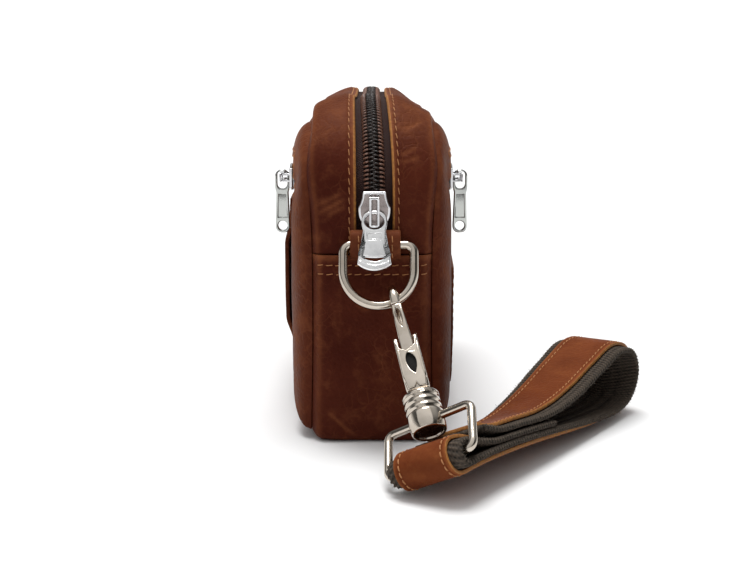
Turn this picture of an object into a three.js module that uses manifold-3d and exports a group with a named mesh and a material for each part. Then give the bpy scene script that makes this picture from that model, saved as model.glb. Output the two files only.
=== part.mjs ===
// Leather belt bag with a zip over its top, zipped side pockets, a belt loop, a slip pocket
// and a wrist strap clipped to its end ring. Millimetres, +Z up, origin at the centre of the base.
// X runs across the thickness, Y along the length; the zip pull hangs at the -Y end.
import * as THREE from 'three';
import { mergeVertices } from 'three/addons/utils/BufferGeometryUtils.js';
import Module from 'manifold-3d';

const wasm = await Module();
wasm.setup();

// Body
const HALF_LENGTH = 80;
const HEIGHT = 121;
const TOP_RADIUS = 36;
const BASE_RADIUS = { middle: 4, seam: 8 };
const END_SEAM_Z = 66.7;
const LEATHER = 1.6;
const GAP = 0.35;
const TOP_SAG = 2.2;
const SEAM_HALF_WIDTH = 20.4;
const SEAM_BULGE = { depth: 1.9, z: 97, spread: 15 };
const EDGE_ROLL = 1.6;
const END_DOME = 2.4;
const TOP_DOME = 8.4;
const SHOULDER_OVERHANG = 0.9;
const BASE_DOME = 1.6;
const BASE_FLAT_SHARE = 0.55;
const PANEL_DISH = 0.2;
const PANEL_SHOULDER = 0.24;
const PANEL_CENTRE_Z = 60;
const FRONT_CENTRE_X = 28.2;
const BACK_CENTRE_X = 29;

// Main zip
const ZIP_SLOT_END = 6.2;
const ZIP_SLOT_TOP = 5.5;
const ZIP_TAPE_HALF = 9.4;
const COIL_HALF = 2.9;
const COIL_RISE = 2;
const TAPE = 0.8;
const TAPE_DEPTH = { end: 2.7, top: 2.35 };
const SLIDER_TOP_Z = 88.6;
const SLIDER_LOW_Z = 75.9;
const SLIDER_X = 0.8;
const ZIP_DRIFT_TOP = -0.7;

// Side pocket zips
const POCKET_ZIP = { z: 90.4, slot: 10.2, halfLength: 57, tapeHalf: 8, coilRise: 0.5 };
const SIDE_SLIDER_Y = -49.5;
const SIDE_SLIDER_SUNK = 1.2;

// Belt loop on the back panel and slip pocket on the front panel
const BELT_LOOP = { halfWidth: 28, lowZ: 16, highZ: 80, sewn: 8, gap: 4.6 };
const SLIP_POCKET = { halfWidth: 44, lowZ: 12, highZ: 56, mouth: 1.1 };

// End tab and ring
const TAB = { x: 1.1, width: 17, lowZ: 65.6, highZ: 75.6, depth: 6, round: 3.2 };
const RING_BAR = new THREE.Vector3(2.2, -83.2, 70.6);
const RING = { wire: 1.6, half: 11.9, corner: 2.8, drop: 20.6, leanDeg: 19.5 };

// Snap hook, measured along its own axis from the ring's wire
const HOOK_ON_RING = 5.6;
const HOOK_AXIS = new THREE.Vector3(0.205, -0.697, -0.687).normalize();
const HOOK_ACROSS = new THREE.Vector3(0.966, 0.033, 0.255);
const HOOK = { arch: 5.5, archAt: 1.9, wire: 1.7, socketHalf: 3.9, cheek: 1.3, stem: 1.8 };
const GATE = { topAt: 4.5, pivotAt: 25, pivotOut: 2.8, topOut: 5.1, thick: 1.7, pin: 1 };
const BARREL = { topAt: 36.9, lowAt: 50.3, radius: 6, bore: 2.15, crossAt: 45.9 };

// Rectangular loop that carries the strap
const LOOP_BAR = new THREE.Vector3(0.796, -0.38, 0.465).normalize();
const LOOP = { wire: 1.4, half: 15.8, corner: 2.8, swingDeg: -12, slide: 0.9 };

// Wrist strap: webbing faced with a narrower leather strip
const WEBBING = { half: 13.4, thick: 2 };
const STRIP = { half: 10.2, thick: 1.3 };
const STRAP_FOLD = 3.4;
const STRAP_TAIL = 56;
const STRIP_TAIL = 12;
const STRAP_GAP = 0.45;
const STRAP_RUN = STRIP.thick + STRAP_GAP + WEBBING.thick / 2;
const STRAP_ACROSS = new THREE.Vector3(0.81, -0.4, 0.43).normalize();
const STRAP_HEADING = { nearDeg: 58, farDeg: 54, settle: 130 };
const STRAP_ASIDE = 0.4;
const STRAP_STEP = { length: 8, turn: 0.22 };

const COLOURS = {
  leather: 0x5a2c1b,
  leatherLight: 0x7d4426,
  tape: 0x231813,
  chrome: 0xd2d2d4,
  nickel: 0xcfc8b8,
  webbing: 0x33332b,
};

const lerp = THREE.MathUtils.lerp;
const smooth = THREE.MathUtils.smoothstep;
const radians = THREE.MathUtils.degToRad;

// Closed triangle mesh from points and faces, turned so that its faces point out
function closedGeometry(points, faces) {
  let volume = 0;
  for (const [a, b, c] of faces) {
    volume += points[a].dot(new THREE.Vector3().crossVectors(points[b], points[c]));
  }
  const geometry = new THREE.BufferGeometry();
  const position = points.flatMap((p) => [p.x, p.y, p.z]);
  const index = faces.flatMap(([a, b, c]) => (volume > 0 ? [a, b, c] : [a, c, b]));
  geometry.setAttribute('position', new THREE.Float32BufferAttribute(position, 3));
  geometry.setIndex(index);
  return geometry;
}

function toSolid(geometry) {
  const bare = geometry.clone();
  bare.deleteAttribute('normal');
  bare.deleteAttribute('uv');
  const merged = mergeVertices(bare, 1e-4);
  return new wasm.Manifold(new wasm.Mesh({
    numProp: 3,
    vertProperties: new Float32Array(merged.attributes.position.array),
    triVerts: new Uint32Array(merged.index.array),
  }));
}

function toGeometry(solid) {
  const mesh = solid.getMesh();
  const geometry = new THREE.BufferGeometry();
  geometry.setAttribute('position', new THREE.Float32BufferAttribute(mesh.vertProperties, 3));
  geometry.setIndex(Array.from(mesh.triVerts));
  return geometry;
}

function joined(geometries) {
  const solids = geometries.map(toSolid);
  return toGeometry(solids.reduce((sum, next) => sum.add(next)));
}

function cut(geometry, tools) {
  const solids = tools.map(toSolid);
  return toGeometry(solids.reduce((rest, tool) => rest.subtract(tool), toSolid(geometry)));
}

// Wall of even thickness: surface(u, v) is its outer face and the rest lies behind that face
function wall(us, vs, surface, thickness, outward) {
  const step = 1e-3;
  const outer = [];
  const inner = [];
  for (const u of us) {
    for (const v of vs) {
      const p = surface(u, v);
      const du = surface(u + step, v).sub(surface(u - step, v));
      const dv = surface(u, v + step).sub(surface(u, v - step));
      const normal = du.cross(dv).normalize();
      if (normal.dot(outward(p)) < 0) normal.negate();
      outer.push(p);
      inner.push(p.clone().addScaledVector(normal, -thickness));
    }
  }
  const rows = vs.length;
  const size = outer.length;
  const faces = [];
  const quad = (a, b, c, d) => faces.push([a, b, c], [a, c, d]);
  for (let i = 0; i + 1 < us.length; i += 1) {
    for (let j = 0; j + 1 < rows; j += 1) {
      const a = i * rows + j;
      const b = a + rows;
      quad(a, b, b + 1, a + 1);
      quad(size + a, size + a + 1, size + b + 1, size + b);
    }
    const low = i * rows;
    const high = low + rows - 1;
    quad(low, size + low, size + low + rows, low + rows);
    quad(high, high + rows, size + high + rows, size + high);
  }
  const last = (us.length - 1) * rows;
  for (let j = 0; j + 1 < rows; j += 1) {
    quad(j, j + 1, size + j + 1, size + j);
    quad(last + j, size + last + j, size + last + j + 1, last + j + 1);
  }
  return closedGeometry(outer.concat(inner), faces);
}

// Solid through a row of equal cross-sections, given as rings of points and one flat outline
function loft(rings, outline, closed = false) {
  const size = outline.length;
  const points = rings.flat();
  const faces = [];
  const spans = closed ? rings.length : rings.length - 1;
  for (let i = 0; i < spans; i += 1) {
    const a = i * size;
    const b = ((i + 1) % rings.length) * size;
    for (let j = 0; j < size; j += 1) {
      const k = (j + 1) % size;
      faces.push([a + j, b + j, b + k], [a + j, b + k, a + k]);
    }
  }
  if (!closed) {
    const last = (rings.length - 1) * size;
    const turn = Math.sign(THREE.ShapeUtils.area(outline));
    for (const face of THREE.ShapeUtils.triangulateShape(outline, [])) {
      const faceTurn = Math.sign(THREE.ShapeUtils.area(face.map((i) => outline[i])));
      const [a, b, c] = faceTurn === turn ? face : face.slice().reverse();
      faces.push([a, b, c], [last + a, last + c, last + b]);
    }
  }
  return closedGeometry(points, faces);
}

function roundOutline(radiusX, radiusY, sides) {
  return Array.from({ length: sides }, (_, i) => {
    const angle = (i / sides) * Math.PI * 2;
    return new THREE.Vector2(radiusX * Math.cos(angle), radiusY * Math.sin(angle));
  });
}

// Wire bent in one plane: its section stands on the path, with the plane's normal as one axis
function planarWire(path, normal, outline, closed) {
  const count = path.length;
  const rings = path.map((p, i) => {
    const before = path[closed ? (i - 1 + count) % count : Math.max(i - 1, 0)];
    const after = path[closed ? (i + 1) % count : Math.min(i + 1, count - 1)];
    const tangent = after.clone().sub(before).normalize();
    const side = new THREE.Vector3().crossVectors(tangent, normal).normalize();
    return outline.map((o) => p.clone().addScaledVector(side, o.x).addScaledVector(normal, o.y));
  });
  return loft(rings, outline, closed);
}

// Flat plate from an outline, set by a matrix whose Z axis is the plate's thickness
function plate(shape, thickness, matrix, curveSegments = 6) {
  const geometry = new THREE.ExtrudeGeometry(shape, {
    depth: thickness, bevelEnabled: false, curveSegments,
  });
  geometry.translate(0, 0, -thickness / 2);
  return geometry.applyMatrix4(matrix);
}

function frame(origin, xAxis, yAxis, zAxis) {
  return new THREE.Matrix4().makeBasis(xAxis, yAxis, zAxis).setPosition(origin);
}

const X = new THREE.Vector3(1, 0, 0);
const Y = new THREE.Vector3(0, 1, 0);
const Z = new THREE.Vector3(0, 0, 1);

function spaced(breaks, counts) {
  const values = [breaks[0]];
  counts.forEach((count, i) => {
    for (let j = 1; j <= count; j += 1) values.push(lerp(breaks[i], breaks[i + 1], j / count));
  });
  return values;
}

// Side outline of the bag: the zip gusset runs over the top, the base gusset under the bottom
const STRAIGHT_END = HALF_LENGTH - TOP_RADIUS;
const zipPath = new THREE.Path();
zipPath.moveTo(-HALF_LENGTH, END_SEAM_Z + 0.2);
zipPath.lineTo(-HALF_LENGTH, HEIGHT - TOP_RADIUS);
zipPath.absarc(-STRAIGHT_END, HEIGHT - TOP_RADIUS, TOP_RADIUS, Math.PI, Math.PI / 2, true);
zipPath.lineTo(STRAIGHT_END, HEIGHT);
zipPath.absarc(STRAIGHT_END, HEIGHT - TOP_RADIUS, TOP_RADIUS, Math.PI / 2, 0, true);
zipPath.lineTo(HALF_LENGTH, END_SEAM_Z + 0.2);

function basePath(radius) {
  const straight = HALF_LENGTH - radius;
  const path = new THREE.Path();
  path.moveTo(-HALF_LENGTH, END_SEAM_Z - 0.2);
  path.lineTo(-HALF_LENGTH, radius);
  path.absarc(-straight, radius, radius, Math.PI, Math.PI * 1.5, false);
  path.lineTo(straight, 0);
  path.absarc(straight, radius, radius, Math.PI * 1.5, Math.PI * 2, false);
  path.lineTo(HALF_LENGTH, END_SEAM_Z - 0.2);
  return path;
}

// Arc-length shares at which each path changes from straight to round
function pathBreaks(path) {
  const lengths = path.getCurveLengths();
  const total = lengths[lengths.length - 1];
  const shares = [0, ...lengths.map((length) => length / total)];
  return shares.filter((share, i) => i === 0 || share - shares[i - 1] > 1e-6);
}
const ZIP_STATIONS = spaced(pathBreaks(zipPath), [3, 7, 5, 7, 3]);

// The base's corners are nearly square at the middle and rounder along the seams.
// Its stations count the five straight and round runs that both outlines have.
const [BASE_MIDDLE, BASE_SEAM] = [BASE_RADIUS.middle, BASE_RADIUS.seam].map((radius) => {
  const path = basePath(radius);
  return { path, breaks: pathBreaks(path) };
});
const BASE_STATIONS = spaced([0, 1, 2, 3, 4, 5], [4, 5, 4, 5, 4]);

// Point and outward direction on a path; turn is +1 on the zip path and -1 on the base path
function onPath(path, turn, u) {
  const share = THREE.MathUtils.clamp(u, 0, 1);
  const p = path.getPointAt(share);
  const t = path.getTangentAt(share);
  return { y: p.x + t.x * (u - share), z: p.y + t.y * (u - share), ny: -turn * t.y, nz: turn * t.x };
}

function onBase(outline, station) {
  const run = THREE.MathUtils.clamp(Math.floor(station), 0, 4);
  const u = lerp(outline.breaks[run], outline.breaks[run + 1], station - run);
  return onPath(outline.path, -1, u);
}

// The soft top sinks a little between its two rounded ends
function settle(p) {
  const middle = Math.cos((p.y / HALF_LENGTH) * (Math.PI / 2)) ** 2;
  p.z -= TOP_SAG * smooth(p.z, 70, HEIGHT) * middle;
  return p;
}

function seamHalf(z) {
  return SEAM_HALF_WIDTH + SEAM_BULGE.depth * Math.exp(-(((z - SEAM_BULGE.z) / SEAM_BULGE.spread) ** 2));
}

function slotHalf(nz) {
  return lerp(ZIP_SLOT_END, ZIP_SLOT_TOP, nz * nz);
}

// The zip does not run quite straight: it leans to one side over the top
function zipDrift(nz) {
  return lerp(SLIDER_X, ZIP_DRIFT_TOP, nz * nz);
}

function rollIn(share) {
  return EDGE_ROLL * Math.max(0, (share - 0.86) / 0.14) ** 2;
}

function zipGussetPoint(u, share, side) {
  const at = onPath(zipPath, 1, u);
  const dome = lerp(END_DOME, TOP_DOME, at.nz * at.nz);
  const drop = dome * (0.4 * share ** 2 + 0.6 * share ** 8) + rollIn(share);
  const overhang = SHOULDER_OVERHANG * at.nz * at.nz * 16 * share ** 6 * (1 - share);
  const x = lerp(side * slotHalf(at.nz) + zipDrift(at.nz), side * seamHalf(at.z), share);
  return settle(new THREE.Vector3(x + side * overhang, at.y - at.ny * drop, at.z - at.nz * drop));
}

function baseGussetPoint(station, across) {
  const share = Math.abs(across);
  const middle = onBase(BASE_MIDDLE, station);
  const seam = onBase(BASE_SEAM, station);
  const round = share ** 6;
  const out = new THREE.Vector2(lerp(middle.ny, seam.ny, round), lerp(middle.nz, seam.nz, round)).normalize();
  const dome = lerp(END_DOME, BASE_DOME, out.y ** 2);
  const bend = Math.max(0, (share - BASE_FLAT_SHARE) / (1 - BASE_FLAT_SHARE)) ** 2;
  const drop = dome * bend + rollIn(share);
  const z = lerp(middle.z, seam.z, round);
  const y = lerp(middle.y, seam.y, round);
  return new THREE.Vector3(across * seamHalf(z), y - out.x * drop, z - out.y * drop);
}

const fromMiddle = (p) => new THREE.Vector3(p.x, p.y, p.z - PANEL_CENTRE_Z);

function zipGusset(side) {
  const shares = [0, 0.4, 0.66, 0.8, 0.9, 0.96, 1];
  const surface = (u, share) => zipGussetPoint(u, share, side);
  return wall(ZIP_STATIONS, shares, surface, LEATHER, fromMiddle);
}

function baseGusset() {
  const across = [-1, -0.93, -0.8, -BASE_FLAT_SHARE, 0, BASE_FLAT_SHARE, 0.8, 0.93, 1];
  return wall(BASE_STATIONS, across, baseGussetPoint, LEATHER, fromMiddle);
}

// Panel: a dish whose rim follows the gussets' edges and swells out over a round shoulder
function panel(side, centreX) {
  const rim = ZIP_STATIONS.map((u) => (shift) => zipGussetPoint(u + shift, 1, 1))
    .concat(BASE_STATIONS.slice().reverse().map((u) => (shift) => baseGussetPoint(u - shift, 1)));
  const centre = new THREE.Vector3(centreX, 0, PANEL_CENTRE_Z);
  const shares = [0, 0.03, 0.08, 0.15, PANEL_SHOULDER, 0.45, 0.72];
  const surface = (station, share, shift = 0) => {
    const edge = rim[station](shift);
    const rise = 1 - Math.min(Math.max(share, 0), PANEL_SHOULDER) / PANEL_SHOULDER;
    const swell = lerp(edge.x + GAP, centreX - PANEL_DISH, Math.sqrt(1 - rise * rise));
    const p = edge.lerp(centre, share);
    p.x = lerp(swell, centreX, smooth(share, 0.2, 1));
    return p;
  };
  const count = rim.length;
  const outer = [];
  const inner = [];
  for (const share of shares) {
    for (let station = 0; station < count; station += 1) {
      const p = surface(station, share);
      const along = surface(station, share, 1e-3).sub(surface(station, share, -1e-3));
      const out = surface(station, share + 1e-3).sub(surface(station, Math.max(share - 1e-3, 0)));
      const normal = along.cross(out).normalize();
      if (normal.dot(p.clone().sub(new THREE.Vector3(0, 0, PANEL_CENTRE_Z))) < 0) normal.negate();
      outer.push(p);
      inner.push(p.clone().addScaledVector(normal, -LEATHER));
    }
  }
  outer.push(centre);
  inner.push(centre.clone().addScaledVector(X, -LEATHER));
  const size = outer.length;
  const faces = [];
  for (let station = 0; station < count; station += 1) {
    const next = (station + 1) % count;
    faces.push([station, size + station, size + next], [station, size + next, next]);
    for (let ring = 0; ring + 1 < shares.length; ring += 1) {
      const a = ring * count + station;
      const b = ring * count + next;
      faces.push([a, b, b + count], [a, b + count, a + count]);
      faces.push([size + a, size + b + count, size + b], [size + a, size + a + count, size + b + count]);
    }
    const last = (shares.length - 1) * count;
    faces.push([last + station, last + next, size - 1]);
    faces.push([size + last + station, 2 * size - 1, size + last + next]);
  }
  const points = outer.concat(inner);
  points.forEach((p) => { p.x *= side; });
  return closedGeometry(points, faces);
}

const panels = { front: panel(1, FRONT_CENTRE_X), back: panel(-1, BACK_CENTRE_X) };

// How far a panel's outer face stands from the middle plane at one place
function panelOut(name, y, z) {
  const side = name === 'front' ? 1 : -1;
  const probe = new THREE.Mesh(panels[name], new THREE.MeshBasicMaterial({ side: THREE.DoubleSide }));
  const ray = new THREE.Raycaster(new THREE.Vector3(side * 100, y, z), new THREE.Vector3(-side, 0, 0));
  return Math.abs(ray.intersectObject(probe)[0].point.x);
}

function slottedPanel(name) {
  const slot = new THREE.BoxGeometry(30, POCKET_ZIP.halfLength * 2, POCKET_ZIP.slot);
  slot.translate(name === 'front' ? 30 : -30, 0, POCKET_ZIP.z);
  return cut(panels[name], [slot]);
}

// Tape with the raised coil along its middle; depth is measured in from the leather's outer face
function tapeOutline(tapeHalf, depth, coilRise) {
  const half = [
    new THREE.Vector2(tapeHalf, depth + TAPE), new THREE.Vector2(tapeHalf, depth),
    new THREE.Vector2(COIL_HALF, depth), new THREE.Vector2(COIL_HALF * 0.92, depth - coilRise * 0.6),
    new THREE.Vector2(COIL_HALF * 0.55, depth - coilRise),
  ];
  const mirrored = half.slice().reverse().map((p) => new THREE.Vector2(-p.x, p.y));
  return half.concat(mirrored);
}

function mainZipTape() {
  const outline = tapeOutline(ZIP_TAPE_HALF, 0, COIL_RISE);
  const rings = ZIP_STATIONS.map((u) => {
    const inside = lerp(0.012, 0.988, u);
    const at = onPath(zipPath, 1, inside);
    const x = zipDrift(at.nz);
    const depth = lerp(TAPE_DEPTH.end, TAPE_DEPTH.top, at.nz * at.nz);
    return outline.map((o) => {
      const below = depth + o.y;
      return settle(new THREE.Vector3(x + o.x, at.y - at.ny * below, at.z - at.nz * below));
    });
  });
  return loft(rings, outline);
}

function sideZipTape(name) {
  const side = name === 'front' ? 1 : -1;
  const outline = tapeOutline(POCKET_ZIP.tapeHalf, LEATHER + GAP, POCKET_ZIP.coilRise);
  const reach = POCKET_ZIP.halfLength + 3;
  const rings = spaced([-reach, reach], [8]).map((y) => {
    const rows = [-1, 0, 1].map((k) => panelOut(name, y, POCKET_ZIP.z + k * POCKET_ZIP.tapeHalf));
    const out = Math.min(...rows);
    return outline.map((o) => new THREE.Vector3(side * (out - o.y), y, POCKET_ZIP.z + o.x));
  });
  return loft(rings, outline);
}

// Slider body: a waisted plate with a bridge that the pull's eye hangs on.
// In its own frame, X is across the zip, Y along it towards the wide end, Z away from the zip.
function sliderGeometry(matrix, bridgeHeight, widthShare) {
  const body = new THREE.Shape();
  body.moveTo(-3.9, 6.3);
  body.lineTo(3.9, 6.3);
  body.quadraticCurveTo(4.1, 3.4, 5.4, 1);
  body.quadraticCurveTo(5.5, -2.6, 4.2, -4.2);
  body.lineTo(3.3, -6.3);
  body.lineTo(-3.3, -6.3);
  body.lineTo(-4.2, -4.2);
  body.quadraticCurveTo(-5.5, -2.6, -5.4, 1);
  body.quadraticCurveTo(-4.1, 3.4, -3.9, 6.3);
  const bodyPlate = plate(body, 2, new THREE.Matrix4().makeTranslation(0, 0, 1), 3);
  const bridge = new THREE.Shape();
  bridge.moveTo(-5.4, 0.5);
  bridge.lineTo(-5.4, bridgeHeight - 1.2);
  bridge.quadraticCurveTo(-5.2, bridgeHeight, -3.8, bridgeHeight);
  bridge.lineTo(3.6, bridgeHeight);
  bridge.quadraticCurveTo(5.4, bridgeHeight, 5.6, 0.5);
  bridge.lineTo(3.9, 0.5);
  bridge.lineTo(3.4, bridgeHeight - BRIDGE_BAR);
  bridge.lineTo(-3.7, bridgeHeight - BRIDGE_BAR);
  bridge.lineTo(-3.8, 0.5);
  const upright = frame(new THREE.Vector3(), Y, Z, X);
  const geometry = joined([bodyPlate, plate(bridge, 3.5, upright, 3)]);
  return geometry.scale(widthShare, 1, 1).applyMatrix4(matrix);
}

const MAIN_SLIDER_MIDDLE = (SLIDER_TOP_Z + SLIDER_LOW_Z) / 2;
const MAIN_SLIDER_FRAME = frame(
  new THREE.Vector3(SLIDER_X, -HALF_LENGTH - 0.05, MAIN_SLIDER_MIDDLE), X, Z, Y.clone().negate(),
);
const MAIN_BRIDGE = 6.6;
const SIDE_BRIDGE = 5.7;
const BRIDGE_BAR = 1.5;
const SIDE_SLIDER_WIDTH = 0.88;

function sideSliderFrame(name) {
  const side = name === 'front' ? 1 : -1;
  const out = panelOut(name, SIDE_SLIDER_Y, POCKET_ZIP.z) - SIDE_SLIDER_SUNK;
  const origin = new THREE.Vector3(side * out, SIDE_SLIDER_Y, POCKET_ZIP.z);
  return frame(origin, new THREE.Vector3(0, 0, side), Y.clone().negate(), new THREE.Vector3(side, 0, 0));
}

// Main pull: a ring-shaped eye, a waist and a flared plate with a curved slot. Y runs down from its hinge.
const MAIN_PULL = { eyeHalf: 4.35, waist: 3.8, foot: 5.7, length: 20.4, thick: 1.5, leanDeg: 18.5 };
function mainPullGeometry(matrix) {
  const outline = new THREE.Shape();
  outline.moveTo(-MAIN_PULL.waist, 5.6);
  outline.quadraticCurveTo(-MAIN_PULL.eyeHalf - 0.5, 2.4, -MAIN_PULL.eyeHalf + 0.5, 0.6);
  outline.quadraticCurveTo(-2.6, -1.2, 0, -1.2);
  outline.quadraticCurveTo(2.6, -1.2, MAIN_PULL.eyeHalf - 0.5, 0.6);
  outline.quadraticCurveTo(MAIN_PULL.eyeHalf + 0.5, 2.4, MAIN_PULL.waist, 5.6);
  outline.lineTo(MAIN_PULL.foot, MAIN_PULL.length - 3.4);
  outline.quadraticCurveTo(0, MAIN_PULL.length + 1, -MAIN_PULL.foot, MAIN_PULL.length - 3.4);
  const eye = new THREE.Path();
  eye.absellipse(0, 2.6, 3.3, 2.6, 0, Math.PI * 2, true);
  const grip = new THREE.Path();
  grip.moveTo(-3.6, 14.6);
  grip.lineTo(3.6, 14.6);
  grip.quadraticCurveTo(0, 16.6, -3.6, 14.6);
  outline.holes.push(eye, grip);
  return plate(outline, MAIN_PULL.thick, matrix, 5);
}

// Slim side pull: an oblong eye rounded about the hinge, a flat shaft and a round hole at its foot
const SIDE_PULL = { eyeHalf: 2.6, shaft: 2.2, foot: 2.6, length: 22.4, thick: 1.9, hingeAt: 1.95 };
function sidePullGeometry(matrix) {
  const outline = new THREE.Shape();
  const footAt = SIDE_PULL.length - SIDE_PULL.foot;
  outline.moveTo(-SIDE_PULL.shaft, 7.6);
  outline.lineTo(-SIDE_PULL.eyeHalf, 5.6);
  outline.absarc(0, SIDE_PULL.hingeAt, SIDE_PULL.eyeHalf, Math.PI, Math.PI * 2, false);
  outline.lineTo(SIDE_PULL.eyeHalf, 5.6);
  outline.lineTo(SIDE_PULL.shaft, 7.6);
  outline.lineTo(SIDE_PULL.foot, footAt);
  outline.absarc(0, footAt, SIDE_PULL.foot, 0, Math.PI, false);
  const eye = new THREE.Path();
  eye.moveTo(-1.75, 1.5);
  eye.lineTo(-1.75, 4.4);
  eye.quadraticCurveTo(-1.75, 6.3, 0, 6.3);
  eye.quadraticCurveTo(1.75, 6.3, 1.75, 4.4);
  eye.lineTo(1.75, 1.5);
  eye.quadraticCurveTo(1.75, 0, 0, 0);
  eye.quadraticCurveTo(-1.75, 0, -1.75, 1.5);
  const foot = new THREE.Path();
  foot.absarc(0, footAt, 1.7, 0, Math.PI * 2, true);
  outline.holes.push(eye, foot);
  return plate(outline, SIDE_PULL.thick, matrix, 5);
}

const MAIN_PULL_HINGE = new THREE.Vector3(
  SLIDER_X, -HALF_LENGTH - MAIN_BRIDGE + 2.4, MAIN_SLIDER_MIDDLE - 1.1,
);
function mainPullFrame() {
  const lean = radians(MAIN_PULL.leanDeg);
  const down = new THREE.Vector3(0, -Math.sin(lean), -Math.cos(lean));
  const face = new THREE.Vector3().crossVectors(X, down);
  return frame(MAIN_PULL_HINGE, X, down, face);
}

// A side pull turns about the middle of its slider's bridge
function sidePullFrame(name) {
  const side = name === 'front' ? 1 : -1;
  const bridgeOut = panelOut(name, SIDE_SLIDER_Y, POCKET_ZIP.z) - SIDE_SLIDER_SUNK + SIDE_BRIDGE;
  const hinge = new THREE.Vector3(side * (bridgeOut - BRIDGE_BAR / 2), SIDE_SLIDER_Y, POCKET_ZIP.z);
  const top = hinge.addScaledVector(Z, SIDE_PULL.hingeAt);
  return frame(top, new THREE.Vector3(-side, 0, 0), Z.clone().negate(), new THREE.Vector3(0, -side, 0));
}

// Belt loop: a strip sewn flat at both ends that stands off the panel between them
function beltLoop() {
  const middle = (BELT_LOOP.lowZ + BELT_LOOP.highZ) / 2;
  const half = (BELT_LOOP.highZ - BELT_LOOP.lowZ) / 2;
  const flatX = panelOut('back', 0, middle);
  const surface = (z, y) => {
    const fromEnd = half - Math.abs(z - middle);
    const stand = smooth(fromEnd, BELT_LOOP.sewn, BELT_LOOP.sewn + 10);
    const seated = panelOut('back', THREE.MathUtils.clamp(y, -40, 40), z) + GAP + 0.15;
    const x = lerp(seated, flatX + BELT_LOOP.gap, stand) + LEATHER;
    return new THREE.Vector3(-x, y, z);
  };
  const heights = [0, BELT_LOOP.sewn, BELT_LOOP.sewn + 4, BELT_LOOP.sewn + 8, BELT_LOOP.sewn + 11];
  const zs = heights.map((h) => BELT_LOOP.lowZ + h)
    .concat([middle], heights.slice().reverse().map((h) => BELT_LOOP.highZ - h));
  const ys = spaced([-BELT_LOOP.halfWidth, BELT_LOOP.halfWidth], [4]);
  return wall(zs, ys, surface, LEATHER, () => new THREE.Vector3(-1, 0, 0));
}

// Slip pocket: one leather layer laid over the lower half of the front panel, open along its top edge
function slipPocket() {
  const surface = (z, y) => {
    const mouth = SLIP_POCKET.mouth * smooth(z, SLIP_POCKET.highZ - 30, SLIP_POCKET.highZ);
    const centred = 1 - (y / SLIP_POCKET.halfWidth) ** 2;
    const low = Math.max(z, SLIP_POCKET.lowZ);
    return new THREE.Vector3(panelOut('front', y, low) + 0.55 + mouth * centred + LEATHER, y, z);
  };
  const zs = [SLIP_POCKET.lowZ, 14, 16, 19, 24, 34, 45, SLIP_POCKET.highZ];
  const ys = spaced([-SLIP_POCKET.halfWidth, SLIP_POCKET.halfWidth], [8]);
  return wall(zs, ys, surface, LEATHER, () => X.clone());
}

// End tab: leather folded over the ring's bar and sewn into the end seam
function ringTab() {
  const outline = new THREE.Shape();
  outline.moveTo(GAP, TAB.lowZ);
  outline.lineTo(GAP, TAB.highZ - 1.6);
  outline.quadraticCurveTo(GAP + 0.4, TAB.highZ, 2.4, TAB.highZ);
  outline.lineTo(TAB.depth - TAB.round, TAB.highZ);
  outline.quadraticCurveTo(TAB.depth, TAB.highZ, TAB.depth, TAB.highZ - TAB.round);
  outline.lineTo(TAB.depth - 0.6, RING_BAR.z - 2.6);
  outline.lineTo(GAP + 2.9, TAB.lowZ);
  const tunnel = new THREE.Path();
  const out = -HALF_LENGTH - RING_BAR.y;
  const room = RING.wire + 0.3;
  tunnel.absarc(out, RING_BAR.z, room, -0.5, Math.PI + 0.5, false);
  tunnel.lineTo(out - 0.3, RING_BAR.z - 3.7);
  outline.holes.push(tunnel);
  const origin = new THREE.Vector3(TAB.x, -HALF_LENGTH, 0);
  return plate(outline, TAB.width, frame(origin, Y.clone().negate(), Z, X.clone().negate()), 4);
}

// Round-cornered loop: points of its centre line, corner by corner
function roundedLoop(corners, radius, stepsPerCorner) {
  return corners.flatMap((corner, i) => {
    const before = corners[(i - 1 + corners.length) % corners.length];
    const after = corners[(i + 1) % corners.length];
    const start = corner.clone().add(before.clone().sub(corner).setLength(radius));
    const end = corner.clone().add(after.clone().sub(corner).setLength(radius));
    return new THREE.QuadraticBezierCurve3(start, corner, end).getPoints(stepsPerCorner);
  });
}

const RING_LEAN = radians(RING.leanDeg);
const RING_DOWN = new THREE.Vector3(0, -Math.sin(RING_LEAN), -Math.cos(RING_LEAN));
const RING_BOWL = RING.drop - RING.half;
function onRing(across, drop) {
  return RING_BAR.clone().addScaledVector(X, across).addScaledVector(RING_DOWN, drop);
}

function dRing() {
  const path = [];
  const straight = RING.half - RING.corner;
  const arcs = [
    { across: straight, drop: RING.corner, radius: RING.corner, from: -90, to: 0, steps: 4 },
    { across: 0, drop: RING_BOWL, radius: RING.half, from: 0, to: 180, steps: 18 },
    { across: -straight, drop: RING.corner, radius: RING.corner, from: 180, to: 270, steps: 4 },
  ];
  for (const arc of arcs) {
    for (let i = 0; i <= arc.steps; i += 1) {
      const angle = radians(lerp(arc.from, arc.to, i / arc.steps));
      path.push(onRing(arc.across + arc.radius * Math.cos(angle), arc.drop + arc.radius * Math.sin(angle)));
    }
  }
  const normal = new THREE.Vector3().crossVectors(X, RING_DOWN);
  return planarWire(path, normal, roundOutline(RING.wire, RING.wire, 8), true);
}

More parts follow.
